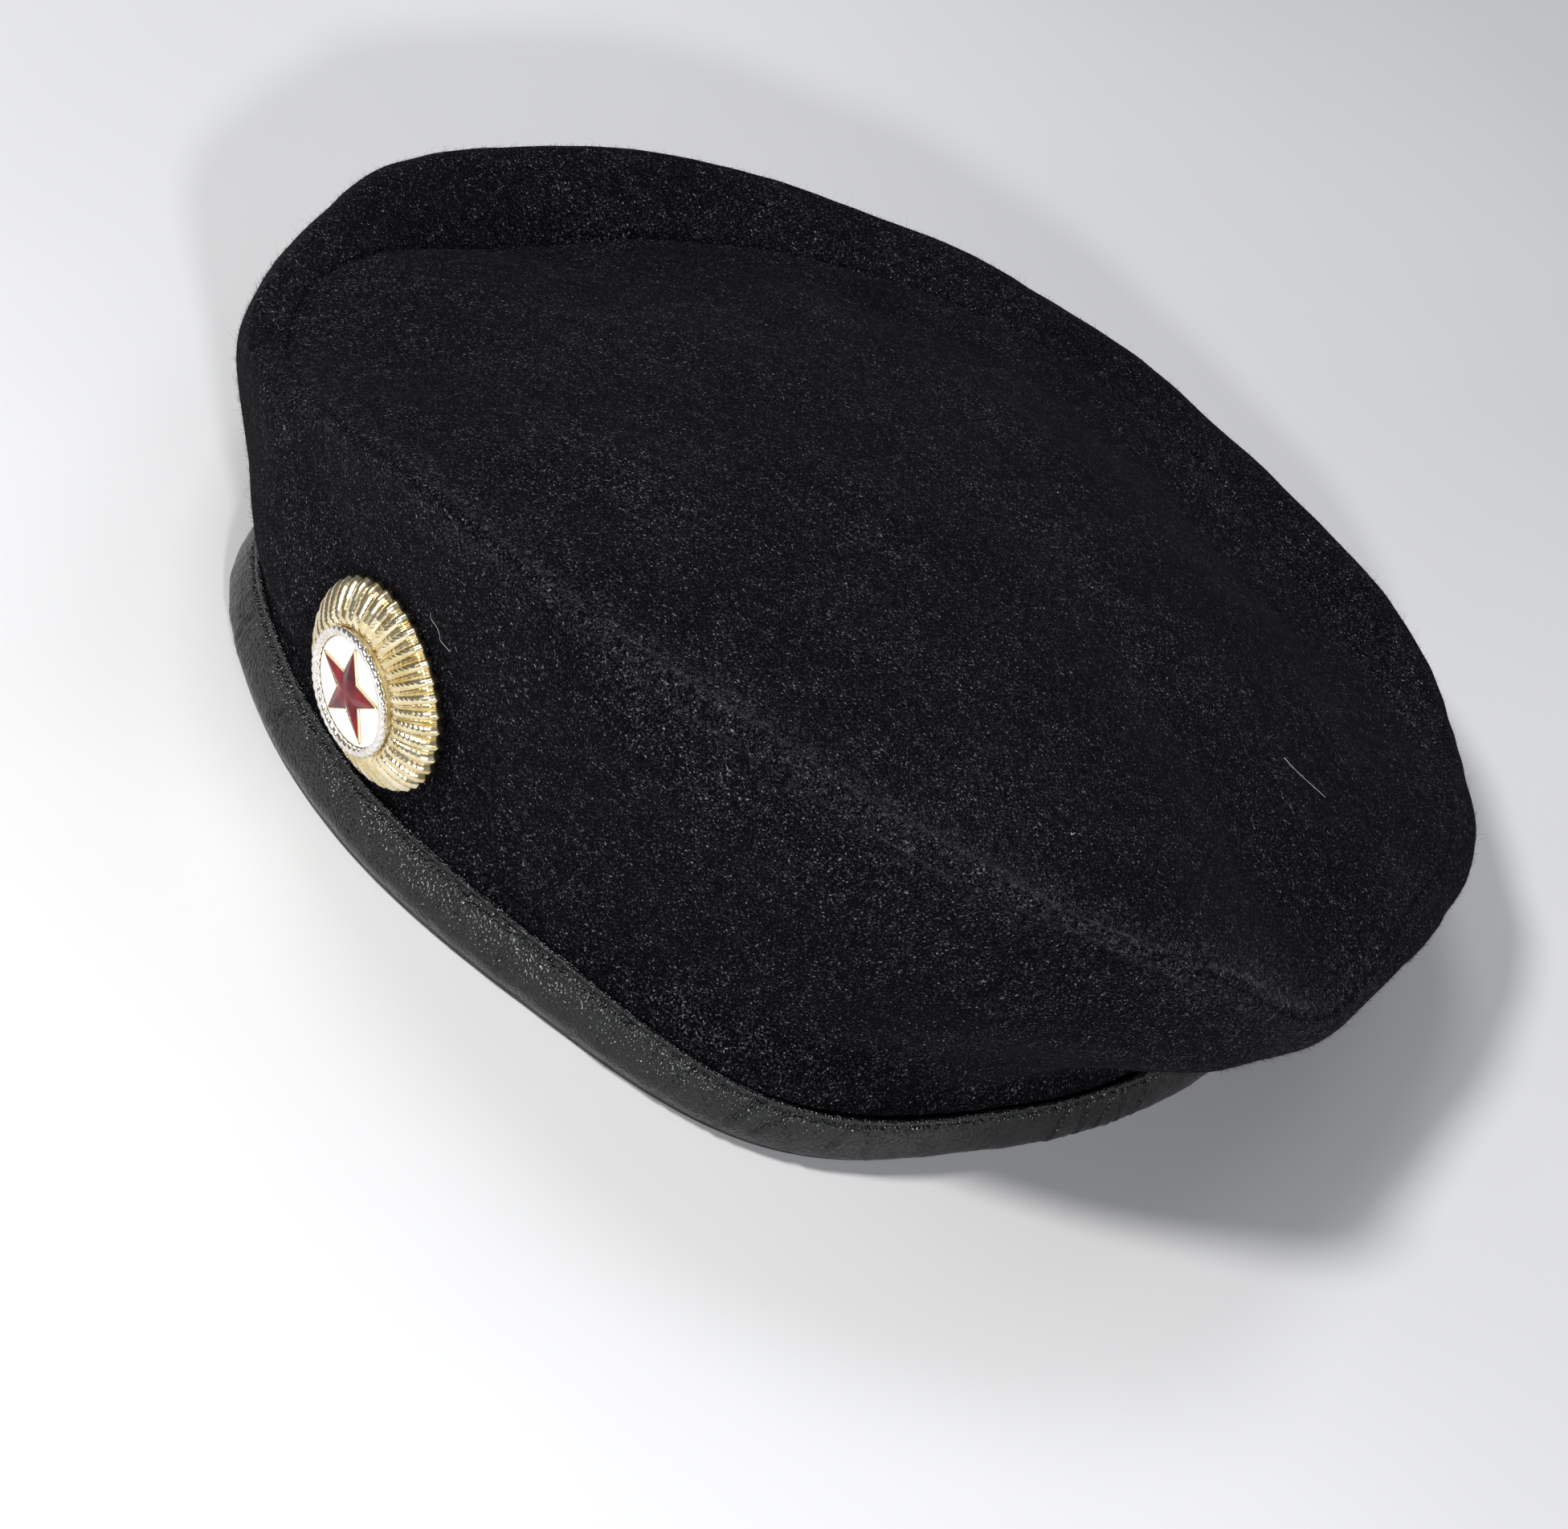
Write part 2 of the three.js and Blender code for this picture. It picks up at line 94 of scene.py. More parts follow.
# The crown's folds, a row for each turn about the head from the front to the wearer's left.
# Turns are degrees. band is a share of HEAD_RADIUS and lean of BINDING_HEIGHT. Each Out is a
# share of the crown's reach past the head and each Up a share of its height over the binding.
# dip is how far the top panel sinks inside its seam, a share of that height too.

FOLD_COLUMNS = (
    "turn", "band", "lean", "tuckOut", "tuckUp", "creaseOut", "creaseUp",
    "bellyOut", "bellyUp", "crestOut", "crestUp", "seamOut", "seamUp", "dip",
)
FOLDS = np.array([
    [0, 1.080, 0.08, 0.01, 0.06, 0.04, 0.14, 0.23, 0.48, 0.44, 0.73, 0.59, 0.92, 0.00],
    [25, 1.052, 0.09, 0.01, 0.03, 0.03, 0.08, 0.34, 0.45, 0.61, 0.76, 0.71, 1.01, 0.00],
    [50, 1.084, 0.35, 0.12, 0.06, 0.04, 0.16, 0.31, 0.45, 0.51, 0.73, 0.61, 0.95, 0.00],
    [75, 0.952, 0.27, 0.05, 0.09, 0.30, 0.25, 0.68, 0.43, 0.84, 0.64, 0.88, 0.78, 0.00],
    [100, 0.903, 0.12, 0.00, 0.09, 0.37, 0.16, 0.59, 0.25, 0.72, 0.36, 0.72, 0.45, 0.01],
    [125, 0.928, 0.08, 0.07, 0.08, 0.40, 0.14, 0.52, 0.23, 0.58, 0.34, 0.45, 0.42, 0.02],
    [150, 1.006, 0.08, 0.13, 0.06, 0.47, 0.09, 0.72, 0.12, 0.78, 0.25, 0.55, 0.33, 0.04],
    [180, 1.072, 0.08, 0.20, 0.03, 0.67, 0.03, 1.12, 0.09, 1.05, 0.25, 0.48, 0.26, 0.06],
    [210, 1.022, 0.08, 0.27, 0.03, 0.93, 0.03, 1.43, 0.16, 1.30, 0.33, 0.67, 0.37, 0.05],
    [240, 0.950, 0.08, 0.33, 0.05, 1.07, 0.06, 1.68, 0.20, 1.52, 0.37, 0.88, 0.33, 0.02],
    [270, 0.922, 0.08, 0.33, 0.06, 1.00, 0.08, 1.63, 0.19, 1.47, 0.34, 0.83, 0.25, 0.00],
    [300, 0.994, 0.08, 0.23, 0.06, 0.60, 0.08, 0.95, 0.22, 0.88, 0.39, 0.65, 0.36, 0.00],
    [325, 1.100, 0.04, 0.07, 0.05, 0.20, 0.12, 0.43, 0.33, 0.50, 0.48, 0.30, 0.51, 0.00],
    [345, 1.094, 0.04, 0.03, 0.05, 0.10, 0.14, 0.27, 0.45, 0.42, 0.65, 0.45, 0.75, 0.00],
])

DIP_PLACE = 0.8
DIP_WIDTH = 0.14

# The stitched seam between the top panel and the wall

SEAM_PITCH = 3.4 * MM
SEAM_DEPTH = 0.95 * MM
SEAM_STITCH_DEPTH = 0.60 * MM
SEAM_WIDTH = 0.60 * MM
RIDGE_HEIGHT = 0.55 * MM
RIDGE_PLACE = 1.9 * MM
RIDGE_WIDTH = 1.1 * MM
SEAM_SLIT = 0.05 * MM
SEAM_STRONG_TURN = 48
SEAM_STRONG_SPAN = 42
SEAM_WEAKEST = 0.28

# The felt's unevenness: size across, height

FELT_LUMPS = ((46 * MM, 0.55 * MM), (21 * MM, 0.20 * MM), (8 * MM, 0.05 * MM))

# The nap: the way it is brushed, how far it strays from it, and how deep it is rooted. Near the
# seam a pale nap paints the sheen of light on its ridge, as far as SHEEN_NAP_WIDTH and where the
# seam is stronger than SHEEN_NAP_FROM, and its groove is bare of it.

NAP_TURN = math.radians(70)
NAP_SPREAD = 0.9
NAP_ROOT = 0.06 * MM
SHEEN_NAP_WIDTH = 7.5 * MM
SHEEN_NAP_FROM = 0.24
BARE_WIDTH = 1.3 * MM

# Pale lint on the felt: the piece it lies on, its radius and the places along it, each as a turn
# in degrees and a way from the seam in millimetres

LINT = (
    ("wall", 0.035 * MM, ((3.3, 24.4), (3.6, 25.6), (4.6, 26.2), (5.2, 27.4), (4.9, 28.4), (6.5, 28.9))),
    ("panel", 0.055 * MM, ((124.8, 34.0), (125.4, 31.4), (126.4, 28.6), (127.6, 25.6), (128.2, 24.0))),
    ("panel", 0.09 * MM, ((186.0, 92.9), (186.3, 92.6), (186.6, 92.2))),
    ("panel", 0.08 * MM, ((62.5, 22.5), (62.7, 22.1), (62.8, 21.8))),
)
LINT_LIFT = 0.2 * MM
LINT_SIDES = 5

# The leather's stitch line and folded top edge

BEAD_RADIUS = 0.62 * MM
BEAD_OUT = 0.5 * MM
STITCH_LINE_DROP = 1.75 * MM
STITCH_LINE_DEPTH = 0.55 * MM
STITCH_LINE_WIDTH = 0.42 * MM
STITCH_PITCH = 2.9 * MM
STITCH_LONG = 2.0 * MM
THREAD_RADIUS = 0.13 * MM
LEATHER_BULGE = 2.0 * MM
BULGE_PLACE = 0.32

# Creases of the leather: turn in degrees, slant in degrees of turn over the height,
# depth and width in millimetres, and how far up they start and end as shares of the height

CREASES = (
    (41.0, 2.4, 0.28, 0.7, 0.20, 0.95),
    (44.5, -2.0, 0.22, 0.6, 0.05, 0.60),
    (47.2, 3.6, 0.38, 0.8, 0.25, 1.00),
    (49.8, 5.0, 0.26, 0.6, 0.40, 1.00),
    (52.4, -3.0, 0.30, 0.9, 0.10, 0.80),
    (56.5, 2.2, 0.22, 0.6, 0.35, 0.95),
    (60.0, -1.5, 0.26, 0.7, 0.15, 0.85),
    (84.0, 1.6, 0.24, 0.7, 0.15, 0.90),
    (88.0, -1.0, 0.34, 0.8, 0.10, 0.95),
    (91.5, 1.2, 0.30, 0.6, 0.20, 0.95),
    (94.5, -1.8, 0.36, 0.8, 0.05, 0.90),
    (98.0, 0.8, 0.24, 0.7, 0.25, 0.95),
    (14.0, 1.8, 0.16, 0.8, 0.30, 0.90),
    (22.0, -2.2, 0.14, 0.7, 0.20, 0.80),
    (-12.0, 2.0, 0.18, 0.8, 0.20, 0.90),
    (-24.0, -1.6, 0.20, 0.7, 0.15, 0.85),
    (140.0, 1.5, 0.24, 0.8, 0.15, 0.90),
    (168.0, -2.0, 0.26, 0.8, 0.20, 0.95),
    (192.0, 1.5, 0.24, 0.7, 0.10, 0.85),
    (222.0, 2.0, 0.22, 0.8, 0.20, 0.95),
    (262.0, -1.5, 0.26, 0.8, 0.15, 0.90),
    (301.0, 1.8, 0.22, 0.7, 0.20, 0.85),
)


# Smooth closed interpolation

def fold_values(name, turns):
    """One column of the folds at each turn: a cubic with a slope at each row from its neighbours."""
    column = FOLD_COLUMNS.index(name)
    at = np.concatenate([FOLDS[-2:, 0] - 360, FOLDS[:, 0], FOLDS[:3, 0] + 360])
    value = np.concatenate([FOLDS[-2:, column], FOLDS[:, column], FOLDS[:3, column]])
    step = np.diff(at)
    rise = np.diff(value) / step
    slope = np.zeros_like(value)
    slope[1:-1] = (rise[:-1] * step[1:] + rise[1:] * step[:-1]) / (step[:-1] + step[1:])
    turns = np.mod(turns, 360)
    i = np.searchsorted(at, turns, side="right") - 1
    span = at[i + 1] - at[i]
    t = (turns - at[i]) / span
    keep = 1 - t
    return (
        value[i] * keep**2 * (1 + 2 * t)
        + value[i + 1] * t**2 * (3 - 2 * t)
        + slope[i] * span * t * keep**2
        - slope[i + 1] * span * keep * t**2
    )


def spline_rows(points, steps, near_end=None):
    """Rows of a smooth line through the points, each a pair of arrays, one value for each turn.
    near_end gives the shares of the last stretch, for rows that crowd towards its end."""
    first = [2 * a - b for a, b in zip(points[0], points[1])]
    last = [2 * a - b for a, b in zip(points[-1], points[-2])]
    line = [first, *points, last]
    rows = []
    for k, count in enumerate(steps):
        shares = [j / count for j in range(count)]
        if near_end is not None and k == len(steps) - 1:
            shares = list(near_end)
        for t in shares:
            row = []
            for a, b, c, d in zip(*line[k:k + 4]):
                row.append(0.5 * (
                    2 * b + (c - a) * t
                    + (2 * a - 5 * b + 4 * c - d) * t**2
                    + (3 * b - a - 3 * c + d) * t**3
                ))
            rows.append(row)
    rows.append(points[-1])
    return rows


# The crown's lines, as distance from the head's axis and height

CROWN_REACH = CROWN_RADIUS - HEAD_RADIUS
CROWN_RISE = CROWN_HEIGHT - BINDING_HEIGHT
CLOTH_OUTSET = LEATHER + FIT_GAP
PANEL_MIDDLE = BINDING_HEIGHT + PANEL_MIDDLE_UP * CROWN_RISE


def band_radius(turns):
    return HEAD_RADIUS * fold_values("band", turns)


def lean_at(turns, height):
    return fold_values("lean", turns) * height


def fold_point(name, turns):
    out = band_radius(turns) + CROWN_REACH * fold_values(name + "Out", turns)
    up = BINDING_HEIGHT + CROWN_RISE * fold_values(name + "Up", turns)
    return [out, up]


def crowded_shares(length):
    """Shares of a stretch of that length, crowding towards its end, where the seam is."""
    shares = 1 - np.array(CROWDED_WAYS) * MM / length
    return [0.0] + [float(s) for s in shares if s > 0.02]


def wall_rows(turns, steps, near_end=None):
    """The wall's outer face, from inside the binding up to the seam."""
    band = band_radius(turns)

    def in_binding(height):
        shift = lean_at(turns, min(height, BINDING_HEIGHT))
        return [band - CLOTH_OUTSET + shift, np.full_like(band, height)]

    folds = [in_binding(BINDING_HEIGHT + BINDING_CLEAR)]
    folds += [fold_point(name, turns) for name in ("tuck", "crease", "belly", "crest", "seam")]
    folds[1][1] = np.maximum(folds[1][1], BINDING_HEIGHT + 2 * BINDING_CLEAR)
    rows = [in_binding(CLOTH_OUTSET), in_binding(BINDING_HEIGHT)]
    rows += spline_rows(folds, steps, near_end)
    return np.array(rows)


def seam_tilt():
    """The tilted plane that the seam lies nearest to, as its height along and across the head."""
    turns = np.arange(0, 360, 5.0)
    height = fold_point("seam", turns)[1]
    angle = np.radians(turns)
    along = 2 * np.mean(height * np.cos(angle))
    across = 2 * np.mean(height * np.sin(angle))
    return along, across


def panel_rows(turns, shares):
    """The top panel's outer face, from its middle out to the seam."""
    angle = np.radians(turns)
    along, across = seam_tilt()
    seam_out, seam_up = fold_point("seam", turns)
    plane = along * np.cos(angle) + across * np.sin(angle)
    bend = seam_up - PANEL_MIDDLE - plane
    dip_end = math.exp(-(((1 - DIP_PLACE) / DIP_WIDTH) ** 2))
    rows = []
    for share in shares:
        shape = math.exp(-(((share - DIP_PLACE) / DIP_WIDTH) ** 2)) - dip_end * share
        dip = CROWN_RISE * fold_values("dip", turns) * shape
        rows.append([seam_out * share, PANEL_MIDDLE + plane * share + bend * share**2 - dip])
    return np.array(rows)


def inner_rows(rows, thickness):
    """The other face of a sheet, one thickness in from its outer line, mitred at each bend."""
    step = np.diff(rows, axis=0)
    step /= np.linalg.norm(step, axis=1, keepdims=True)
    normal = np.stack([-step[:, 1], step[:, 0]], axis=1)
    before = np.concatenate([normal[:1], normal])
    after = np.concatenate([normal, normal[-1:]])
    middle = before + after
    middle /= np.linalg.norm(middle, axis=1, keepdims=True)
    share = np.sum(middle * before, axis=1, keepdims=True)
    return rows + middle * thickness / np.maximum(share, 0.5)


def place_around(rows, turns):
    """Points in space from rows of distance and height, in the frame's place."""
    angle = np.radians(turns)
    x = rows[:, 0] * np.sin(angle) + head_axis[0]
    y = -rows[:, 0] * np.cos(angle) + head_axis[1]
    return np.stack([x, y, rows[:, 1]], axis=-1)


def find_head_axis():
    """Where the head's axis stands in the frame, from the binding's box."""
    turns = np.arange(0, 360, 5.0)
    angle = np.radians(turns)
    bulge = lean_at(turns, BINDING_HEIGHT / 2) + 0.4 * EDGE_ROUND
    top = lean_at(turns, BINDING_HEIGHT - LEATHER / 2)
    distance = band_radius(turns) + np.maximum(bulge, top)
    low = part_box("edge_binding")[0]
    return low[0] - np.min(distance * np.sin(angle)), low[1] - np.min(-distance * np.cos(angle))


head_axis = find_head_axis()


# Mesh making

def soft_noise(points, size, seed, waves=24):
    """Smooth unevenness between about -1 and 1: a sum of waves of that size in all directions."""
    random = np.random.default_rng(seed)
    total = np.zeros(points.shape[:-1])
    for _ in range(waves):
        way = random.normal(size=3)
        way *= 2 * math.pi / (np.linalg.norm(way) * size * random.uniform(0.75, 1.35))
        total += np.cos(points @ way + random.uniform(0, 2 * math.pi))
    return total / math.sqrt(waves)


def grid_normals(points):
    """Unit normals of rows of closed rings, from the way round the rings and the way across the rows; their
    side follows the rows' order.
    """
    along = np.roll(points, -1, axis=1) - np.roll(points, 1, axis=1)
    across = np.gradient(points, axis=0)
    normal = np.cross(along, across)
    return normal / np.maximum(np.linalg.norm(normal, axis=-1, keepdims=True), 1e-12)


def ring_quads(rings, count, closed):
    low = np.arange(rings if closed else rings - 1)[:, None]
    here = np.arange(count)[None, :]
    beside = (here + 1) % count
    up = (low + 1) % rings
    corners = [low * count + here, low * count + beside, up * count + beside, up * count + here]
    return np.stack(corners, axis=-1).reshape(-1, 4)


def make_mesh(name, points, faces, material):
    """A smooth mesh object from an array of points and lists of faces."""
    mesh = bpy.data.meshes.new(name)
    mesh.from_pydata(points.reshape(-1, 3).tolist(), [], faces)
    mesh.polygons.foreach_set("use_smooth", [True] * len(mesh.polygons))
    mesh.materials.append(material)
    mesh.update()
    piece = bpy.data.objects.new(name, mesh)
    bpy.context.scene.collection.objects.link(piece)
    return piece


def signed_volume(points, faces):
    corner = points.reshape(-1, 3)
    total = 0.0
    for size in (3, 4):
        some = np.array([f for f in faces if len(f) == size])
        if len(some):
            a, b, c = corner[some[:, 0]], corner[some[:, 1]], corner[some[:, 2]]
            total += np.sum(a * np.cross(b, c))
            if size == 4:
                d = corner[some[:, 3]]
                total += np.sum(a * np.cross(c, d))
    return total


def ring_body(name, rings, material, caps=None):
    """A closed body of rings. Without caps the stack of rings closes on itself."""
    count = rings.shape[1]
    faces = ring_quads(len(rings), count, caps is None).tolist()
    points = rings.reshape(-1, 3)
    if caps is not None:
        start = len(points)
        top = (len(rings) - 1) * count
        points = np.concatenate([points, np.array(caps)])
        for j in range(count):
            beside = (j + 1) % count
            faces.append([start, beside, j])
            faces.append([start + 1, top + j, top + beside])
    if signed_volume(points, faces) < 0:
        faces = [face[::-1] for face in faces]
    return make_mesh(name, points, faces, material)


# Node helpers

def new_material(name):
    material = bpy.data.materials.new(name)
    material.use_nodes = True
    return material, material.node_tree.nodes, material.node_tree.links


def place_node(nodes, links, stretch=None):
    """Object coordinates, stretched along an axis where a grain runs."""
    coords = nodes.new("ShaderNodeTexCoord")
    if stretch is None:
        return coords.outputs["Object"]
    mapping = nodes.new("ShaderNodeMapping")
    mapping.inputs["Scale"].default_value = stretch
    links.new(coords.outputs["Object"], mapping.inputs["Vector"])
    return mapping.outputs["Vector"]


def noise_node(nodes, links, place, size, detail=3.0, roughness=0.6):
    """Noise whose features are about size across, in metres."""
    noise = nodes.new("ShaderNodeTexNoise")
    noise.inputs["Scale"].default_value = 1 / size
    noise.inputs["Detail"].default_value = detail
    noise.inputs["Roughness"].default_value = roughness
    links.new(place, noise.inputs["Vector"])
    return noise.outputs["Fac"]


def ramp_node(nodes, links, value, stops):
    """A colour ramp with stops as (place, colour)."""
    ramp = nodes.new("ShaderNodeValToRGB")
    elements = ramp.color_ramp.elements
    while len(elements) < len(stops):
        elements.new(0.5)
    for element, (place, colour) in zip(elements, stops):
        element.position = place
        element.color = (*colour, 1)
    links.new(value, ramp.inputs["Fac"])
    return ramp.outputs["Color"]


def math_node(nodes, links, operation, first, second):
    node = nodes.new("ShaderNodeMath")
    node.operation = operation
    for socket, value in zip(node.inputs, (first, second)):
        if isinstance(value, (int, float)):
            socket.default_value = value
        else:
            links.new(value, socket)
    return node.outputs["Value"]


def range_node(nodes, links, value, low, high):
    node = nodes.new("ShaderNodeMapRange")
    node.inputs["To Min"].default_value = low
    node.inputs["To Max"].default_value = high
    links.new(value, node.inputs["Value"])
    return node.outputs["Result"]


def bump_node(nodes, links, height, distance, shader, before=None):
    bump = nodes.new("ShaderNodeBump")
    bump.inputs["Strength"].default_value = 1
    bump.inputs["Distance"].default_value = distance
    links.new(height, bump.inputs["Height"])
    if before is not None:
        links.new(before, bump.inputs["Normal"])
    links.new(bump.outputs["Normal"], shader.inputs["Normal"])
    return bump.outputs["Normal"]


def mix_node(nodes, links, kind, first, second):
    node = nodes.new("ShaderNodeMix")
    node.data_type = "RGBA"
    node.blend_type = kind
    node.inputs["Factor"].default_value = 1
    links.new(first, node.inputs["A"])
    links.new(second, node.inputs["B"])
    return node.outputs["Result"]


# Materials

def felt_material():
    """Black felt: a dark ground with a dense grain of fibres that catch the light, in soft clusters, and pale
    specks that are painted glints.
    """
    material, nodes, links = new_material("black_felt")
    shader = nodes["Principled BSDF"]
    place = place_node(nodes, links)
    patches = noise_node(nodes, links, place, 26 * MM, 3)
    clusters = noise_node(nodes, links, place, 2.6 * MM, 3, 0.6)
    grain = noise_node(nodes, links, place, 0.42 * MM, 2, 0.7)
    points = noise_node(nodes, links, place, 0.46 * MM, 1, 0.5)
    evenness = math_node(nodes, links, "MULTIPLY", range_node(nodes, links, patches, 0.93, 1.07),
                         range_node(nodes, links, clusters, 0.86, 1.14))
    shade = math_node(nodes, links, "MULTIPLY", grain, evenness)
    colour = ramp_node(nodes, links, shade, [
        (0.42, (0.0002, 0.0002, 0.0003)), (0.50, (0.0009, 0.0008, 0.0014)),
        (0.58, (0.0055, 0.0051, 0.0072)), (0.67, (0.032, 0.030, 0.040)),
    ])
    # Pale specks added to the colour: painted glints of light on the fibres.
    glint_spots = math_node(nodes, links, "MULTIPLY", points, evenness)
    bright = ramp_node(nodes, links, glint_spots, [(0.67, (0, 0, 0)), (0.75, (0.14, 0.138, 0.155))])
    links.new(mix_node(nodes, links, "ADD", colour, bright), shader.inputs["Base Color"])
    shader.inputs["Roughness"].default_value = 0.95
    shader.inputs["Specular IOR Level"].default_value = 0.04
    shader.inputs["Sheen Weight"].default_value = 0.006
    shader.inputs["Sheen Roughness"].default_value = 0.5
    shader.inputs["Sheen Tint"].default_value = (0.62, 0.60, 0.68, 1)
    bump_node(nodes, links, grain, 0.45 * MM, shader)
    return material


def nap_material(name, dark, middle, light):
    material, nodes, links = new_material(name)
    shader = nodes["Principled BSDF"]
    place = place_node(nodes, links)
    strand = noise_node(nodes, links, place, 1.2 * MM, 2, 0.6)
    colour = ramp_node(nodes, links, strand, [(0.40, dark), (0.54, middle), (0.68, light)])
    links.new(colour, shader.inputs["Base Color"])
    shader.inputs["Roughness"].default_value = 0.55
    shader.inputs["Specular IOR Level"].default_value = 0.2
    return material


def lint_material():
    material, nodes, links = new_material("pale_lint")
    shader = nodes["Principled BSDF"]
    place = place_node(nodes, links)
    strand = noise_node(nodes, links, place, 0.8 * MM, 2, 0.6)
    colour = ramp_node(nodes, links, strand, [(0.3, (0.18, 0.17, 0.17)), (0.7, (0.45, 0.43, 0.42))])
    links.new(colour, shader.inputs["Base Color"])
    shader.inputs["Roughness"].default_value = 0.6
    return material


def leather_material():
    material, nodes, links = new_material("black_leather")
    shader = nodes["Principled BSDF"]
    place = place_node(nodes, links, (1, 1, 0.62))
    wander = nodes.new("ShaderNodeTexNoise")
    wander.inputs["Scale"].default_value = 1 / (1.3 * MM)
    wander.inputs["Detail"].default_value = 2
    links.new(place, wander.inputs["Vector"])
    shift = nodes.new("ShaderNodeVectorMath")
    shift.operation = "SCALE"
    shift.inputs["Scale"].default_value = 0.5 * MM
    links.new(wander.outputs["Color"], shift.inputs[0])
    moved = nodes.new("ShaderNodeVectorMath")
    moved.operation = "ADD"
    links.new(place, moved.inputs[0])
    links.new(shift.outputs["Vector"], moved.inputs[1])
    pebbles = nodes.new("ShaderNodeTexVoronoi")
    pebbles.feature = "SMOOTH_F1"
    pebbles.inputs["Scale"].default_value = 1 / (0.46 * MM)
    pebbles.inputs["Smoothness"].default_value = 0.22
    links.new(moved.outputs["Vector"], pebbles.inputs["Vector"])
    soft = noise_node(nodes, links, place, 5 * MM, 3, 0.55)
    fine = noise_node(nodes, links, place, 0.25 * MM, 2, 0.6)
    colour = ramp_node(nodes, links, soft, [
        (0.3, (0.0010, 0.0013, 0.0015)), (0.55, (0.0018, 0.0023, 0.0026)), (0.75, (0.0032, 0.004, 0.0043)),
    ])
    links.new(colour, shader.inputs["Base Color"])
    links.new(range_node(nodes, links, soft, 0.20, 0.32), shader.inputs["Roughness"])
    shader.inputs["Specular IOR Level"].default_value = 0.5
    hollow = math_node(nodes, links, "MULTIPLY", pebbles.outputs["Distance"], -1.0)
    grain = bump_node(nodes, links, hollow, 0.42 * MM, shader)
    wear_and_sheen = bump_node(nodes, links, soft, 0.5 * MM, shader, grain)
    bump_node(nodes, links, fine, 0.03 * MM, shader, wear_and_sheen)
    return material


def thread_material():
    material, nodes, links = new_material("black_thread")
    shader = nodes["Principled BSDF"]
    place = place_node(nodes, links)
    twist = noise_node(nodes, links, place, 0.2 * MM, 2, 0.5)
    colour = ramp_node(nodes, links, twist, [(0.3, (0.008, 0.008, 0.009)), (0.7, (0.03, 0.03, 0.033))])
    links.new(colour, shader.inputs["Base Color"])
    shader.inputs["Roughness"].default_value = 0.5
    bump_node(nodes, links, twist, 0.05 * MM, shader)
    return material


def metal_material(name, dull, bright, roughness):
    material, nodes, links = new_material(name)
    shader = nodes["Principled BSDF"]
    place = place_node(nodes, links)
    tarnish = noise_node(nodes, links, place, 3.5 * MM, 3, 0.6)
    fine = noise_node(nodes, links, place, 0.22 * MM, 2, 0.6)
    colour = ramp_node(nodes, links, tarnish, [(0.35, dull), (0.62, bright)])
    links.new(colour, shader.inputs["Base Color"])
    shader.inputs["Metallic"].default_value = 1
    links.new(range_node(nodes, links, tarnish, roughness * 1.4, roughness * 0.7), shader.inputs["Roughness"])
    bump_node(nodes, links, fine, 0.012 * MM, shader)
    return material


def enamel_material(name, deep, light, size, roughness, coat, shine):
    material, nodes, links = new_material(name)
    shader = nodes["Principled BSDF"]
    place = place_node(nodes, links)
    cloud = noise_node(nodes, links, place, size, 2, 0.5)
    wave = noise_node(nodes, links, place, 2.4 * MM, 1, 0.5)
    colour = ramp_node(nodes, links, cloud, [(0.35, deep), (0.65, light)])
    links.new(colour, shader.inputs["Base Color"])
    shader.inputs["Roughness"].default_value = roughness
    shader.inputs["Specular IOR Level"].default_value = shine
    shader.inputs["Coat Weight"].default_value = coat
    shader.inputs["Coat Roughness"].default_value = 0.04
    bump_node(nodes, links, wave, 0.10 * MM, shader)
    return material


felt = felt_material()
nap = nap_material(
    "black_felt_nap", (0.0005, 0.0004, 0.0006), (0.0028, 0.0026, 0.0036), (0.034, 0.032, 0.039))
sheen_nap = nap_material(
    "painted_sheen_nap", (0.02, 0.0195, 0.023), (0.09, 0.087, 0.099), (0.24, 0.235, 0.26))
lint = lint_material()
leather = leather_material()
thread = thread_material()
gilt = metal_material("pale_gilt", (0.70, 0.56, 0.28), (0.94, 0.84, 0.60), 0.17)
silver = metal_material("bright_rim", (0.80, 0.74, 0.66), (0.96, 0.93, 0.90), 0.16)
white_enamel = enamel_material(
    "white_enamel", (0.93, 0.93, 0.92), (0.97, 0.97, 0.965), 4 * MM, 0.2, 0.6, 0.5)
red_enamel = enamel_material(
    "red_enamel", (0.035, 0.0, 0.003), (0.20, 0.0015, 0.008), 3.4 * MM, 0.16, 0.25, 0.25)


# Felt pieces

def seam_way(points):
    """How far each point of the rows lies from the seam at the last row, along the felt."""
    step = np.linalg.norm(np.diff(points, axis=0), axis=-1)
    way = np.zeros(points.shape[:2])
    way[:-1] = np.cumsum(step[::-1], axis=0)[::-1]
    return way


def ring_way(ring):
    """How far each point of a closed ring lies along it, and the ring's whole length."""
    step = np.linalg.norm(np.roll(ring, -1, axis=0) - ring, axis=-1)
    way = np.concatenate([[0], np.cumsum(step)])
    return way[:-1], way[-1]


def stitch_wave(ring, pitch):
    """1 in the middle of each stitch and -1 where the thread dives in."""
    way, length = ring_way(ring)
    return np.cos(2 * math.pi * round(length / pitch) * way / length)


def seam_strength(count):
    """How strongly the seam shows at each turn: fully (1) on the wearer's left front."""
    turns = np.arange(count) * 360 / count
    off = np.mod(turns - SEAM_STRONG_TURN + 180, 360) - 180
    return SEAM_WEAKEST + (1 - SEAM_WEAKEST) * np.exp(-((off / SEAM_STRONG_SPAN) ** 2))


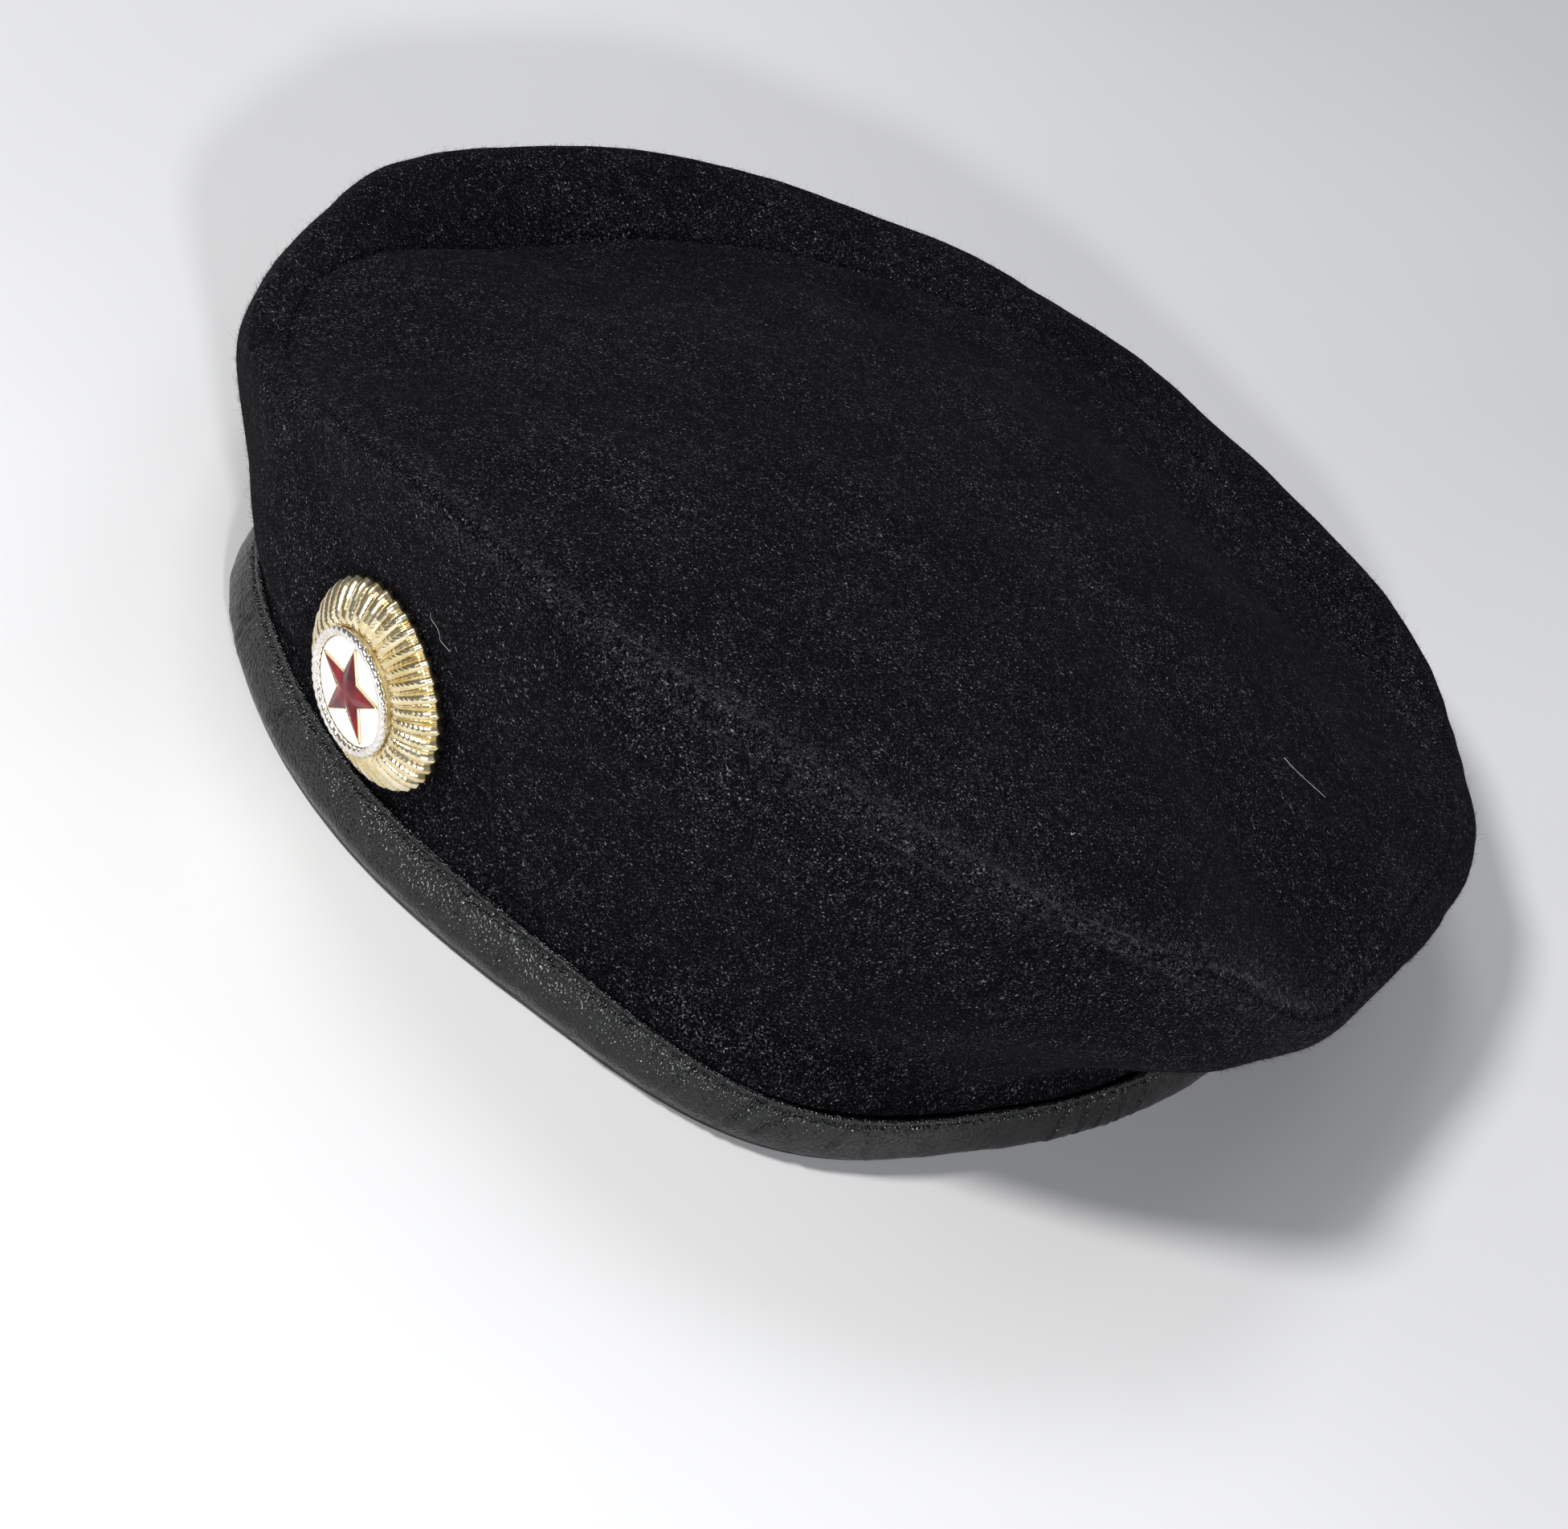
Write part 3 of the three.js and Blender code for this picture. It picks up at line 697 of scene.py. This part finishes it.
def felt_relief(points):
    """Height of the felt's face over its plain line: lumps, and the seam's groove and ridges."""
    height = np.zeros(points.shape[:2])
    for k, (size, tall) in enumerate(FELT_LUMPS):
        height += tall * soft_noise(points, size, 11 + k)
    way = seam_way(points)
    height *= 1 - 0.7 * np.exp(-((way / RIDGE_PLACE) ** 2))
    drift = 1 + 0.35 * soft_noise(points, 30 * MM, 31)
    strong = seam_strength(points.shape[1])
    height += RIDGE_HEIGHT * drift * strong * np.exp(-(((way - RIDGE_PLACE) / RIDGE_WIDTH) ** 2))
    groove = strong * (SEAM_DEPTH - SEAM_STITCH_DEPTH * stitch_wave(points[-1], SEAM_PITCH))[None, :]
    return height - groove * np.exp(-((way / SEAM_WIDTH) ** 2))


def seam_mitre(turns):
    """The way into the felt at the seam, between its two faces, as distance and height."""
    beside = wall_rows(turns, INNER_STEPS)[-2]
    seam = np.array(fold_point("seam", turns))
    inside = panel_rows(turns, [INNER_SHARES[-2]])[0]
    inner = inner_rows(np.stack([beside, seam, inside]), FELT)[1]
    side = np.stack([inner[1] - seam[1], seam[0] - inner[0]]) / FELT
    side *= np.sign(np.sum(side * (beside - seam), axis=0))
    return inner - seam, side / np.linalg.norm(side, axis=0)


def felt_sheet(name, node, outer, inner, turns, slit, caps=None):
    """A felt piece for a node. outer rows end at the seam and inner rows go back from it."""
    mitre, side = seam_mitre(turns)
    points = place_around(outer, turns)
    normals = grid_normals(points)
    row = len(points) // 2
    hollow = np.array([*head_axis, CROWN_HEIGHT / 2])
    facing = np.sign(normals[row, 0] @ (points[row, 0] - hollow))
    relief = felt_relief(points)
    raised = points + facing * normals * relief[..., None]
    edge = outer[-1] - mitre * relief[-1] / FELT + side * slit
    raised[-1] = place_around(edge[None], turns)[0]
    inner[0] = outer[-1] + mitre + side * slit
    rings = np.concatenate([raised, place_around(inner, turns)])
    piece = ring_body(name, rings, felt, caps)
    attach(piece, "root")
    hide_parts(node)
    return raised, facing * grid_normals(raised)


crown_turns = np.arange(CROWN_TURNS) * 360 / CROWN_TURNS

wall_outer = wall_rows(crown_turns, WALL_STEPS, crowded_shares(WALL_STRETCH))
wall_inner = inner_rows(wall_rows(crown_turns, INNER_STEPS), FELT)[::-1].copy()
wall_points, wall_normals = felt_sheet(
    "felt_side_wall", "side_wall", wall_outer, wall_inner, crown_turns, SEAM_SLIT)

panel_shares = list(np.linspace(0.03, 0.87, 40)) + crowded_shares(PANEL_STRETCH)[1:] + [1.0]
panel_outer = panel_rows(crown_turns, panel_shares)
panel_inner = inner_rows(panel_rows(crown_turns, INNER_SHARES)[::-1], FELT)
panel_middle = Vector((*head_axis, PANEL_MIDDLE))
panel_under = panel_middle - Vector((0, 0, FELT))
panel_points, panel_normals = felt_sheet(
    "felt_top_panel", "top_panel", panel_outer, panel_inner, crown_turns, -SEAM_SLIT,
    (panel_middle, panel_under))


# The felt's nap: fine fibres that stand and lie on its face

def scatter(points, normals, count, random, weight):
    """Random places on the rows, as dense as their weight, with the normal and the way round there."""
    along = np.roll(points, -1, axis=1) - points
    across = np.diff(points, axis=0, append=points[-1:])
    area = np.linalg.norm(np.cross(along, across), axis=-1) * weight
    chosen = random.choice(area.size, count, p=(area / area.sum()).ravel())
    row, turn = np.unravel_index(chosen, area.shape)
    place = points[row, turn] + random.random((count, 1)) * along[row, turn]
    place += random.random((count, 1)) * across[row, turn]
    way = along[row, turn] / np.linalg.norm(along[row, turn], axis=-1, keepdims=True)
    return place, normals[row, turn], way


def fibres(name, points, normals, count, long, lift, radius, bend, material, seed, weight=1):
    """Fine fibres with a bend in the middle, or straight ones where bend is 0."""
    random = np.random.default_rng(seed)
    place, normal, way = scatter(points, normals, count, random, weight)
    side = np.cross(normal, way)
    turn = NAP_TURN + random.normal(0, NAP_SPREAD, (count, 1))
    rise = random.uniform(*lift, (count, 1))
    direction = (way * np.cos(turn) + side * np.sin(turn)) * np.cos(rise) + normal * np.sin(rise)
    length = random.uniform(*long, (count, 1))
    first = np.cross(direction, normal)
    first /= np.linalg.norm(first, axis=1, keepdims=True)
    second = np.cross(direction, first)
    root = place - normal * NAP_ROOT
    rings = [(root, 1.0)]
    if bend:
        elbow = root + direction * length * 0.5
        rings.append((elbow, 0.8))
        direction = direction + bend * random.normal(size=(count, 3))
        direction /= np.linalg.norm(direction, axis=1, keepdims=True)
        tip = elbow + direction * length * 0.5
    else:
        tip = root + direction * length
    corners = []
    for middle, share in rings:
        for k in range(3):
            angle = 2 * math.pi * k / 3
            corners.append(middle + radius * share * (first * math.cos(angle) + second * math.sin(angle)))
    corners.append(tip)
    per = len(corners)
    top = per - 4
    faces = [[0, 2, 1]]
    if bend:
        faces += [[0, 1, 4, 3], [1, 2, 5, 4], [2, 0, 3, 5]]
    faces += [[top, top + 1, per - 1], [top + 1, top + 2, per - 1], [top + 2, top, per - 1]]
    start = np.arange(count)[:, None] * per
    every = [(start + np.array(face)).tolist() for face in faces]
    cloud = np.stack(corners, axis=1)
    piece = make_mesh(name, cloud, [face for some in every for face in some], material)
    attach(piece, "root")


# The wall's first rows, inside the binding and just over it, carry no nap

FIRST_SHOWN_ROW = 4

for label, points, normals, seed in (
    ("wall", wall_points[FIRST_SHOWN_ROW:], wall_normals[FIRST_SHOWN_ROW:], 5),
    ("panel", panel_points, panel_normals, 6),
):
    fibres("nap_short_" + label, points, normals, NAP_COUNT, (0.5 * MM, 1.5 * MM), (0.15, 0.9),
           0.024 * MM, 0, nap, seed)
    fibres("nap_long_" + label, points, normals, NAP_LONG_COUNT, (1.4 * MM, 3.4 * MM), (0.1, 0.9),
           0.017 * MM, 0.5, nap, seed + 10)
    # A pale nap by the seam paints the sheen of light on its ridge, strongest where the seam shows most; the
    # groove is left bare of it.
    way = seam_way(points)
    bare = 1 - np.exp(-((way / BARE_WIDTH) ** 4))
    wear_and_sheen = (seam_strength(CROWN_TURNS) - SHEEN_NAP_FROM) * bare * np.exp(-((way / SHEEN_NAP_WIDTH) ** 2))
    fibres("sheen_nap_seam_" + label, points, normals, NAP_SEAM_COUNT, (0.4 * MM, 1.0 * MM), (0.1, 0.8),
           0.022 * MM, 0, sheen_nap, seed + 20, wear_and_sheen)


def lint_hairs():
    """Thin bent hairs of lint that lie on the felt."""
    felt_faces = {"wall": (wall_points, wall_normals), "panel": (panel_points, panel_normals)}
    cloud = []
    faces = []
    for label, radius, path in LINT:
        points, normals = felt_faces[label]
        way = seam_way(points)
        spots = []
        for turn, from_seam in path:
            column = round(turn / 360 * CROWN_TURNS) % CROWN_TURNS
            row_place = np.interp(-from_seam * MM, -way[:, column], np.arange(len(points)))
            row = int(row_place)
            share = row_place - row
            beside = min(row + 1, len(points) - 1)
            spot = points[row, column] * (1 - share) + points[beside, column] * share
            spots.append(spot + normals[row, column] * LINT_LIFT)
        spots = np.array(spots)
        steps = np.linspace(0, len(spots) - 1, 4 * len(spots))
        spine = np.stack([np.interp(steps, np.arange(len(spots)), spots[:, k]) for k in range(3)], axis=1)
        spine[1:-1] = (spine[:-2] + 2 * spine[1:-1] + spine[2:]) / 4
        along = np.gradient(spine, axis=0)
        along /= np.linalg.norm(along, axis=1, keepdims=True)
        across = np.cross(along, np.array([0, 0, 1]))
        across /= np.linalg.norm(across, axis=1, keepdims=True)
        upward = np.cross(across, along)
        start = sum(len(part) for part in cloud)
        rings = []
        for k in range(LINT_SIDES):
            angle = 2 * math.pi * k / LINT_SIDES
            rings.append(spine + radius * (across * math.cos(angle) + upward * math.sin(angle)))
        cloud.append(np.stack(rings, axis=1).reshape(-1, 3))
        faces += (ring_quads(len(spine), LINT_SIDES, False) + start).tolist()
        last = start + (len(spine) - 1) * LINT_SIDES
        faces.append([start + k for k in range(LINT_SIDES)][::-1])
        faces.append([last + k for k in range(LINT_SIDES)])
    piece = make_mesh("pale_lint", np.concatenate(cloud), faces, lint)
    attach(piece, "root")


lint_hairs()


# Leather binding

def binding_profile():
    """The binding's section as rows of distance from the band, height and share of relief."""
    width = 2 * CLOTH_OUTSET + FELT
    rows = [(-EDGE_ROUND, 0, 0)]
    for angle in np.radians([25, 45, 65, 80]):
        rows.append((EDGE_ROUND * (math.sin(angle) - 1), EDGE_ROUND * (1 - math.cos(angle)), 0))
    face_top = BINDING_HEIGHT - 1.9 * BEAD_RADIUS
    for share in np.linspace(0, 1, 26):
        height = EDGE_ROUND + share * (face_top - EDGE_ROUND)
        swell = math.sin(0.5 * math.pi * min(share / BULGE_PLACE, (1 - share) / (1 - BULGE_PLACE)))
        out = LEATHER_BULGE * swell - 0.1 * MM * share
        rows.append((out, height, min(1, 5 * share)))
    middle = (BEAD_OUT - BEAD_RADIUS, BINDING_HEIGHT - BEAD_RADIUS)
    for angle in np.radians(np.linspace(-35, 180, 11)):
        out = middle[0] + BEAD_RADIUS * math.cos(angle)
        rows.append((out, middle[1] + BEAD_RADIUS * math.sin(angle), 0.4))
    for height in np.linspace(BINDING_HEIGHT - 2 * LEATHER, LEATHER, 4):
        rows.append((-LEATHER, height, 0))
    for height in np.linspace(LEATHER, BINDING_HEIGHT - LEATHER / 2, 4):
        rows.append((LEATHER - width, height, 0))
    rows.append((LEATHER / 2 - width, BINDING_HEIGHT, 0))
    for height in np.linspace(BINDING_HEIGHT - LEATHER / 2, EDGE_ROUND, 7):
        rows.append((-width, height, 0))
    rows.append((0.3 * EDGE_ROUND - width, 0.3 * EDGE_ROUND, 0))
    rows.append((EDGE_ROUND - width, 0, 0))
    return rows


def crease_relief(turns, height):
    """The leather's creases as hollows with a soft swell beside them."""
    relief = np.zeros_like(turns)
    share = height / BINDING_HEIGHT
    for turn, slant, depth, width, low, high in CREASES:
        if not low - 0.15 < share < high + 0.15:
            continue
        fade = math.exp(-max(0.0, low - share, share - high) / 0.05)
        off = np.mod(turns - turn - slant * (share - 0.5) + 180, 360) - 180
        way = np.radians(off) * HEAD_RADIUS / (width * MM)
        relief += depth * MM * fade * (0.6 * np.exp(-((np.abs(way) - 1.6) ** 2)) - np.exp(-(way**2)))
    return relief


def leather_binding():
    turns = np.arange(BINDING_TURNS) * 360 / BINDING_TURNS
    profile = binding_profile()
    band = band_radius(turns)
    rows = np.array([[band + out + lean_at(turns, up), np.full_like(band, up)] for out, up, _ in profile])
    points = place_around(rows, turns)
    normals = grid_normals(points)
    normals *= np.sign(normals[15, 0] @ (points[15, 0] - np.array([*head_axis, 0])))
    stitch_height = BINDING_HEIGHT - STITCH_LINE_DROP
    line = int(np.argmin([abs(up - stitch_height) if share > 0.9 else 1 for _, up, share in profile]))
    wave = stitch_wave(points[line], STITCH_PITCH)
    wrinkle = soft_noise(points, 6.5 * MM, 41) * 0.10 * MM + soft_noise(points, 2.0 * MM, 42) * 0.035 * MM
    for k, (_, up, share) in enumerate(profile):
        if share == 0:
            continue
        off = (up - stitch_height) / STITCH_LINE_WIDTH
        groove = (STITCH_LINE_DEPTH - 0.10 * MM * wave) * math.exp(-(off**2))
        pucker = 0.09 * MM * wave * math.exp(-(((up - stitch_height) / (2.6 * MM)) ** 2))
        relief = share * (wrinkle[k] + crease_relief(turns, up) - groove + pucker)
        points[k] += normals[k] * relief[:, None]
    piece = ring_body("leather_binding", points, leather)
    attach(piece, "root")
    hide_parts("edge_binding")
    return points[line], normals[line]


def thread_stitches(name, ring, normals, pitch, long, radius, material):
    """Short stitches along a ring, each a bent thread that dives in at both ends."""
    way, length = ring_way(ring)
    count = round(length / pitch)
    closed_way = np.append(way, length)
    closed_ring = np.vstack([ring, ring[:1]])
    closed_normals = np.vstack([normals, normals[:1]])

    def at(values, place):
        return np.stack([np.interp(place, closed_way, values[:, k]) for k in range(3)], axis=-1)

    steps = np.array([-1, -0.85, -0.5, 0, 0.5, 0.85, 1])
    sides = 8
    middle = (np.arange(count)[:, None] + 0.5) * length / count
    place = middle + steps[None, :] * long / 2
    out = at(closed_normals, np.mod(place, length))
    out /= np.linalg.norm(out, axis=-1, keepdims=True)
    spine = at(closed_ring, np.mod(place, length))
    spine += out * (radius * 0.5 - 1.6 * radius * np.abs(steps) ** 4)[None, :, None]
    along = np.gradient(spine, axis=1)
    along /= np.linalg.norm(along, axis=-1, keepdims=True)
    side = np.cross(along, out)
    girth = radius * np.array([0.25, 0.7, 0.95, 1, 0.95, 0.7, 0.25])
    points = []
    for k in range(sides):
        angle = 2 * math.pi * k / sides
        points.append(spine + girth[None, :, None] * (out * math.cos(angle) + side * math.sin(angle)))
    cloud = np.stack(points, axis=2)
    rings = len(steps)
    faces = []
    for stitch in range(count):
        start = stitch * rings * sides
        faces += (ring_quads(rings, sides, False) + start).tolist()
        faces.append([start + k for k in range(sides)][::-1])
        faces.append([start + (rings - 1) * sides + k for k in range(sides)])
    piece = make_mesh(name, cloud, faces, material)
    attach(piece, "root")


stitch_ring, stitch_normals = leather_binding()
thread_stitches("binding_stitches", stitch_ring, stitch_normals, STITCH_PITCH, STITCH_LONG,
                THREAD_RADIUS, thread)


# Cockade

ROPE_INNER = ROPE_RADIUS - ROPE_THICK / 2
ROPE_OUTER = ROPE_RADIUS + ROPE_THICK / 2
FLOOR_HEIGHT = COCKADE_DEPTH - PLATE_THICK - STAR_THICK - 2 * FIT_GAP
STAR_SEAT = FLOOR_HEIGHT + PLATE_THICK + 2 * FIT_GAP


def find_cockade():
    """The cockade's own frame, X to the wearer's left, Y up the felt and Z out of it, from its plate."""
    plate = np.array([v.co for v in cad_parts["cockade_plate"].data.vertices])
    star = np.array([v.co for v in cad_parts["cockade_star"].data.vertices])
    middle = plate.mean(axis=0)
    out = np.linalg.svd(plate - middle)[2][2]
    out *= np.sign(out @ (star.mean(axis=0) - middle))
    reach = (star - middle) - np.outer((star - middle) @ out, out)
    tips = reach[np.linalg.norm(reach, axis=1) > 0.95 * np.linalg.norm(reach, axis=1).max()]
    up = tips[np.argmax(tips[:, 2])]
    up /= np.linalg.norm(up)
    left = np.cross(up, out)
    seat = middle - out * (FLOOR_HEIGHT + FIT_GAP + PLATE_THICK / 2)
    return np.stack([left, up, out]), seat


cockade_ways, cockade_seat = find_cockade()


def cockade_body(name, node, rings, material, caps=None):
    """A piece of the cockade, from rings in the cockade's own frame."""
    placed = np.asarray(rings) @ cockade_ways + cockade_seat
    ends = None
    if caps is not None:
        ends = [np.array(cap) @ cockade_ways + cockade_seat for cap in caps]
    piece = ring_body(name, placed, material, ends)
    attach(piece, "root")
    if node:
        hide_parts(node)
    return piece


def round_ring(angle, distance, height):
    height = np.broadcast_to(height, angle.shape)
    return np.stack([distance * np.cos(angle), distance * np.sin(angle), height], axis=-1)


RIB_STEPS = 14
RIB_ROWS = 96
RIB_SWELL = 0.85 * MM
RIM_SCALLOP = 1.35 * MM
SERRATION_PITCH = 0.46 * MM
SERRATION_DEPTH = 0.09 * MM
SERRATION_SLANT = math.radians(50)
RAY_PLACES = (0, 0.15, 0.35, 0.6, 0.8, 0.91, 0.935, 1.0)
RAY_HEIGHTS = (1.0, 0.97, 0.87, 0.665, 0.45, 0.31, 0.27, 0.10)


def sunburst():
    count = COCKADE_RIBS * RIB_STEPS
    angle = 2 * math.pi * np.arange(count) / count
    across = 2 * np.mod(np.arange(count) / RIB_STEPS + 0.5, 1) - 1
    rib = np.floor(np.arange(count) / RIB_STEPS + 0.5) % COCKADE_RIBS
    rim = COCKADE_RADIUS - RIM_SCALLOP * np.abs(across) ** 2
    swell = 1 - np.abs(across) ** 2.2
    rings = [round_ring(angle, ROPE_INNER * 0.97, FLOOR_HEIGHT)]
    for share in np.linspace(0, 1, RIB_ROWS):
        distance = ROPE_OUTER + share * (rim - ROPE_OUTER)
        height = FLOOR_HEIGHT * np.interp(share, RAY_PLACES, RAY_HEIGHTS)
        tall = RIB_SWELL * np.interp(share, (0, 0.2, 0.85, 1), (0.35, 0.8, 1, 0.75))
        half_width = math.pi * distance / COCKADE_RIBS
        phase = (distance * math.cos(SERRATION_SLANT) + across * half_width * math.sin(SERRATION_SLANT))
        phase = np.mod(phase / SERRATION_PITCH + 0.37 * rib, 1)
        tooth = 1 - 2 * np.abs(phase - 0.5)
        cut = SERRATION_DEPTH * np.interp(share, (0, 0.04, 0.86, 0.9, 1), (0.4, 1, 1, 0, 0))
        edge_fade = np.clip((1 - np.abs(across)) / 0.15, 0, 1)
        rings.append(round_ring(angle, distance, height + tall * swell + cut * tooth * edge_fade))
    rings.append(round_ring(angle, rim, 0))
    rings.append(round_ring(angle, rim - COCKADE_METAL, 0))
    for share, height in ((0.7, 0.52), (0.35, 0.84), (0, 1)):
        distance = ROPE_OUTER + share * (rim - ROPE_OUTER) - COCKADE_METAL
        rings.append(round_ring(angle, distance, height * FLOOR_HEIGHT - COCKADE_METAL))
    cockade_body("cockade_sunburst", "cockade_base", rings, gilt,
                 ((0, 0, FLOOR_HEIGHT), (0, 0, FLOOR_HEIGHT - COCKADE_METAL)))


ROPE_STRANDS = 42
ROPE_TWISTS = 2


def rope_ring():
    """A twisted rope as a closed ring of rings round its tube."""
    count = ROPE_STRANDS * 12
    angle = 2 * math.pi * np.arange(count) / count
    sides = 20
    rings = []
    for k in range(sides):
        turn = 2 * math.pi * k / sides
        strand = np.abs(np.cos((ROPE_STRANDS * angle + ROPE_TWISTS * turn) / 2))
        girth = ROPE_THICK / 2 * (0.80 + 0.24 * strand**0.8)
        distance = ROPE_RADIUS + girth * math.cos(turn)
        height = COCKADE_DEPTH - ROPE_THICK / 2 + girth * math.sin(turn)
        rings.append(round_ring(angle, distance, height))
    cockade_body("cockade_rope", None, rings, silver)


def plate():
    count = 144
    angle = 2 * math.pi * np.arange(count) / count
    radius = ROPE_INNER - 0.3 * FIT_GAP
    low = FLOOR_HEIGHT + 0.2 * FIT_GAP
    top = FLOOR_HEIGHT + FIT_GAP + PLATE_THICK
    crown = 0.12 * MM
    rings = [round_ring(angle, radius * 0.5, low), round_ring(angle, radius, low)]
    rings += [round_ring(angle, radius, top - 0.1 * MM), round_ring(angle, radius - 0.08 * MM, top)]
    for share in (0.97, 0.9, 0.8, 0.65, 0.5, 0.3, 0.12):
        rings.append(round_ring(angle, radius * share, top + crown * (1 - share**2)))
    cockade_body("cockade_enamel_plate", "cockade_plate", rings, white_enamel,
                 ((0, 0, low), (0, 0, top + crown)))


STAR_EDGE = 0.15 * MM
STAR_EDGE_HEIGHT = 0.3 * MM
STAR_SIDE_STEPS = 14
STAR_DOME = 0.55 * MM


def star_outline():
    """Points of the star's outline, first tip straight up, each side in equal steps."""
    corners = []
    for k in range(10):
        radius = STAR_RADIUS * (1 if k % 2 == 0 else STAR_WAIST)
        angle = math.pi / 2 + k * math.pi / 5
        corners.append((radius * math.cos(angle), radius * math.sin(angle)))
    corners = np.array(corners)
    after = np.roll(corners, -1, axis=0)
    shares = np.arange(STAR_SIDE_STEPS) / STAR_SIDE_STEPS
    return (corners[:, None] + shares[None, :, None] * (after - corners)[:, None]).reshape(-1, 2)


def star_ring(outline, share, height):
    return np.column_stack([outline * share, np.broadcast_to(height, len(outline))])


def star():
    outline = star_outline()
    tip = STAR_RADIUS * np.array([0, 1])
    waist = STAR_RADIUS * STAR_WAIST * np.array([-math.sin(math.pi / 5), math.cos(math.pi / 5)])
    side = waist - tip
    to_side = abs(tip[0] * side[1] - tip[1] * side[0]) / np.linalg.norm(side)
    edge = 1 - STAR_EDGE / to_side
    low = STAR_SEAT - 0.6 * FIT_GAP
    top = STAR_SEAT + STAR_EDGE_HEIGHT
    fill = top - 0.06 * MM
    rings = [star_ring(outline, 0.5, low), star_ring(outline, edge - 0.005, low)]
    for share in (0.995, 0.96, 0.9, 0.8, 0.66, 0.5, 0.34, 0.18, 0.06):
        dome = STAR_DOME * (1 - share**1.7)
        swell = 0.07 * MM * math.sin(math.pi * share) ** 2
        rings.append(star_ring(outline, (edge - 0.005) * share, fill + dome + swell))
    cockade_body("cockade_red_star", "cockade_star", rings, red_enamel,
                 ((0, 0, low), (0, 0, fill + STAR_DOME)))
    frame_rings = [
        star_ring(outline, edge, low),
        star_ring(outline, 1, low),
        star_ring(outline, 1, top - 0.06 * MM),
        star_ring(outline, 1 - 0.15 * (1 - edge), top),
        star_ring(outline, edge + 0.15 * (1 - edge), top),
        star_ring(outline, edge, top - 0.06 * MM),
    ]
    cockade_body("cockade_star_edge", None, frame_rings, gilt)


sunburst()
rope_ring()
plate()
star()
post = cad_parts["cockade_post"]
post.data.materials.clear()
post.data.materials.append(gilt)


# Floor, light and camera

def pale_floor():
    material, nodes, links = new_material("pale_floor")
    shader = nodes["Principled BSDF"]
    place = place_node(nodes, links)
    cloud = noise_node(nodes, links, place, 0.25, 3, 0.5)
    colour = ramp_node(nodes, links, cloud, [(0.3, (0.55, 0.553, 0.562)), (0.7, (0.61, 0.613, 0.622))])
    links.new(colour, shader.inputs["Base Color"])
    shader.inputs["Roughness"].default_value = 0.85
    half = 6.0
    corners = np.array([[-half, -half, 0], [half, -half, 0], [half, half, 0], [-half, half, 0]])
    floor = make_mesh("studio_floor", corners, [[0, 1, 2, 3]], material)


def around(azimuth, elevation, distance):
    """A place round the beret: azimuth 0 is in front of it and 90 on the wearer's left."""
    a, e = math.radians(azimuth), math.radians(elevation)
    return Vector((math.sin(a) * math.cos(e), -math.cos(a) * math.cos(e), math.sin(e))) * distance


# Lights: name, azimuth, elevation, distance, size, power and colour

LIGHTS = (
    ("key", 2, 44, 1.2, 0.20, 15.0, (1.0, 0.99, 0.97)),
    ("glint", 51, 20, 1.5, 0.10, 16.0, (0.98, 0.985, 1.0)),
    ("left_fill", -80, 66, 1.6, 0.6, 6.5, (0.97, 0.98, 1.0)),
    ("back_fill", 200, 62, 1.8, 0.9, 2.4, (0.96, 0.97, 1.0)),
)


def studio_light():
    target = Vector((0, 0, CROWN_HEIGHT / 2))
    for name, azimuth, elevation, distance, size, power, colour in LIGHTS:
        lamp = bpy.data.lights.new(name, "AREA")
        lamp.shape = "DISK"
        lamp.size = size
        lamp.energy = power
        lamp.color = colour
        holder = bpy.data.objects.new(name, lamp)
        holder.location = target + around(azimuth, elevation, distance)
        holder.rotation_euler = (target - holder.location).to_track_quat("-Z", "Y").to_euler()
        bpy.context.scene.collection.objects.link(holder)
    world = bpy.data.worlds.new("studio")
    world.use_nodes = True
    world.node_tree.nodes["Background"].inputs["Color"].default_value = (0.93, 0.95, 1.0, 1)
    world.node_tree.nodes["Background"].inputs["Strength"].default_value = 0.19
    bpy.context.scene.world = world
    bpy.context.scene.view_settings.view_transform = "Standard"


CAMERA_AZIMUTH = 38.0
CAMERA_ELEVATION = 32.0
CAMERA_ROLL = 29.0
CAMERA_DISTANCE = 1.13663
CAMERA_LENS = 152.15
HEAD_AXIS_RIGHT = 1.24 * MM
HEAD_AXIS_BELOW = 4.55 * MM


def camera():
    """The photo's view: from the wearer's left front, above, and rolled."""
    back = around(CAMERA_AZIMUTH, CAMERA_ELEVATION, 1)
    level = Vector((math.cos(math.radians(CAMERA_AZIMUTH)), math.sin(math.radians(CAMERA_AZIMUTH)), 0))
    upward = back.cross(level)
    roll = math.radians(CAMERA_ROLL)
    right = level * math.cos(roll) + upward * math.sin(roll)
    up = upward * math.cos(roll) - level * math.sin(roll)
    lens = bpy.data.cameras.new("photo_view")
    lens.lens = CAMERA_LENS
    lens.sensor_width = 36
    holder = bpy.data.objects.new("photo_view", lens)
    place = Vector((*head_axis, 0)) + CAMERA_DISTANCE * back - HEAD_AXIS_RIGHT * right + HEAD_AXIS_BELOW * up
    holder.matrix_world = Matrix.Translation(place) @ Matrix((right, up, back)).transposed().to_4x4()
    bpy.context.scene.collection.objects.link(holder)
    bpy.context.scene.camera = holder


pale_floor()
studio_light()
camera()
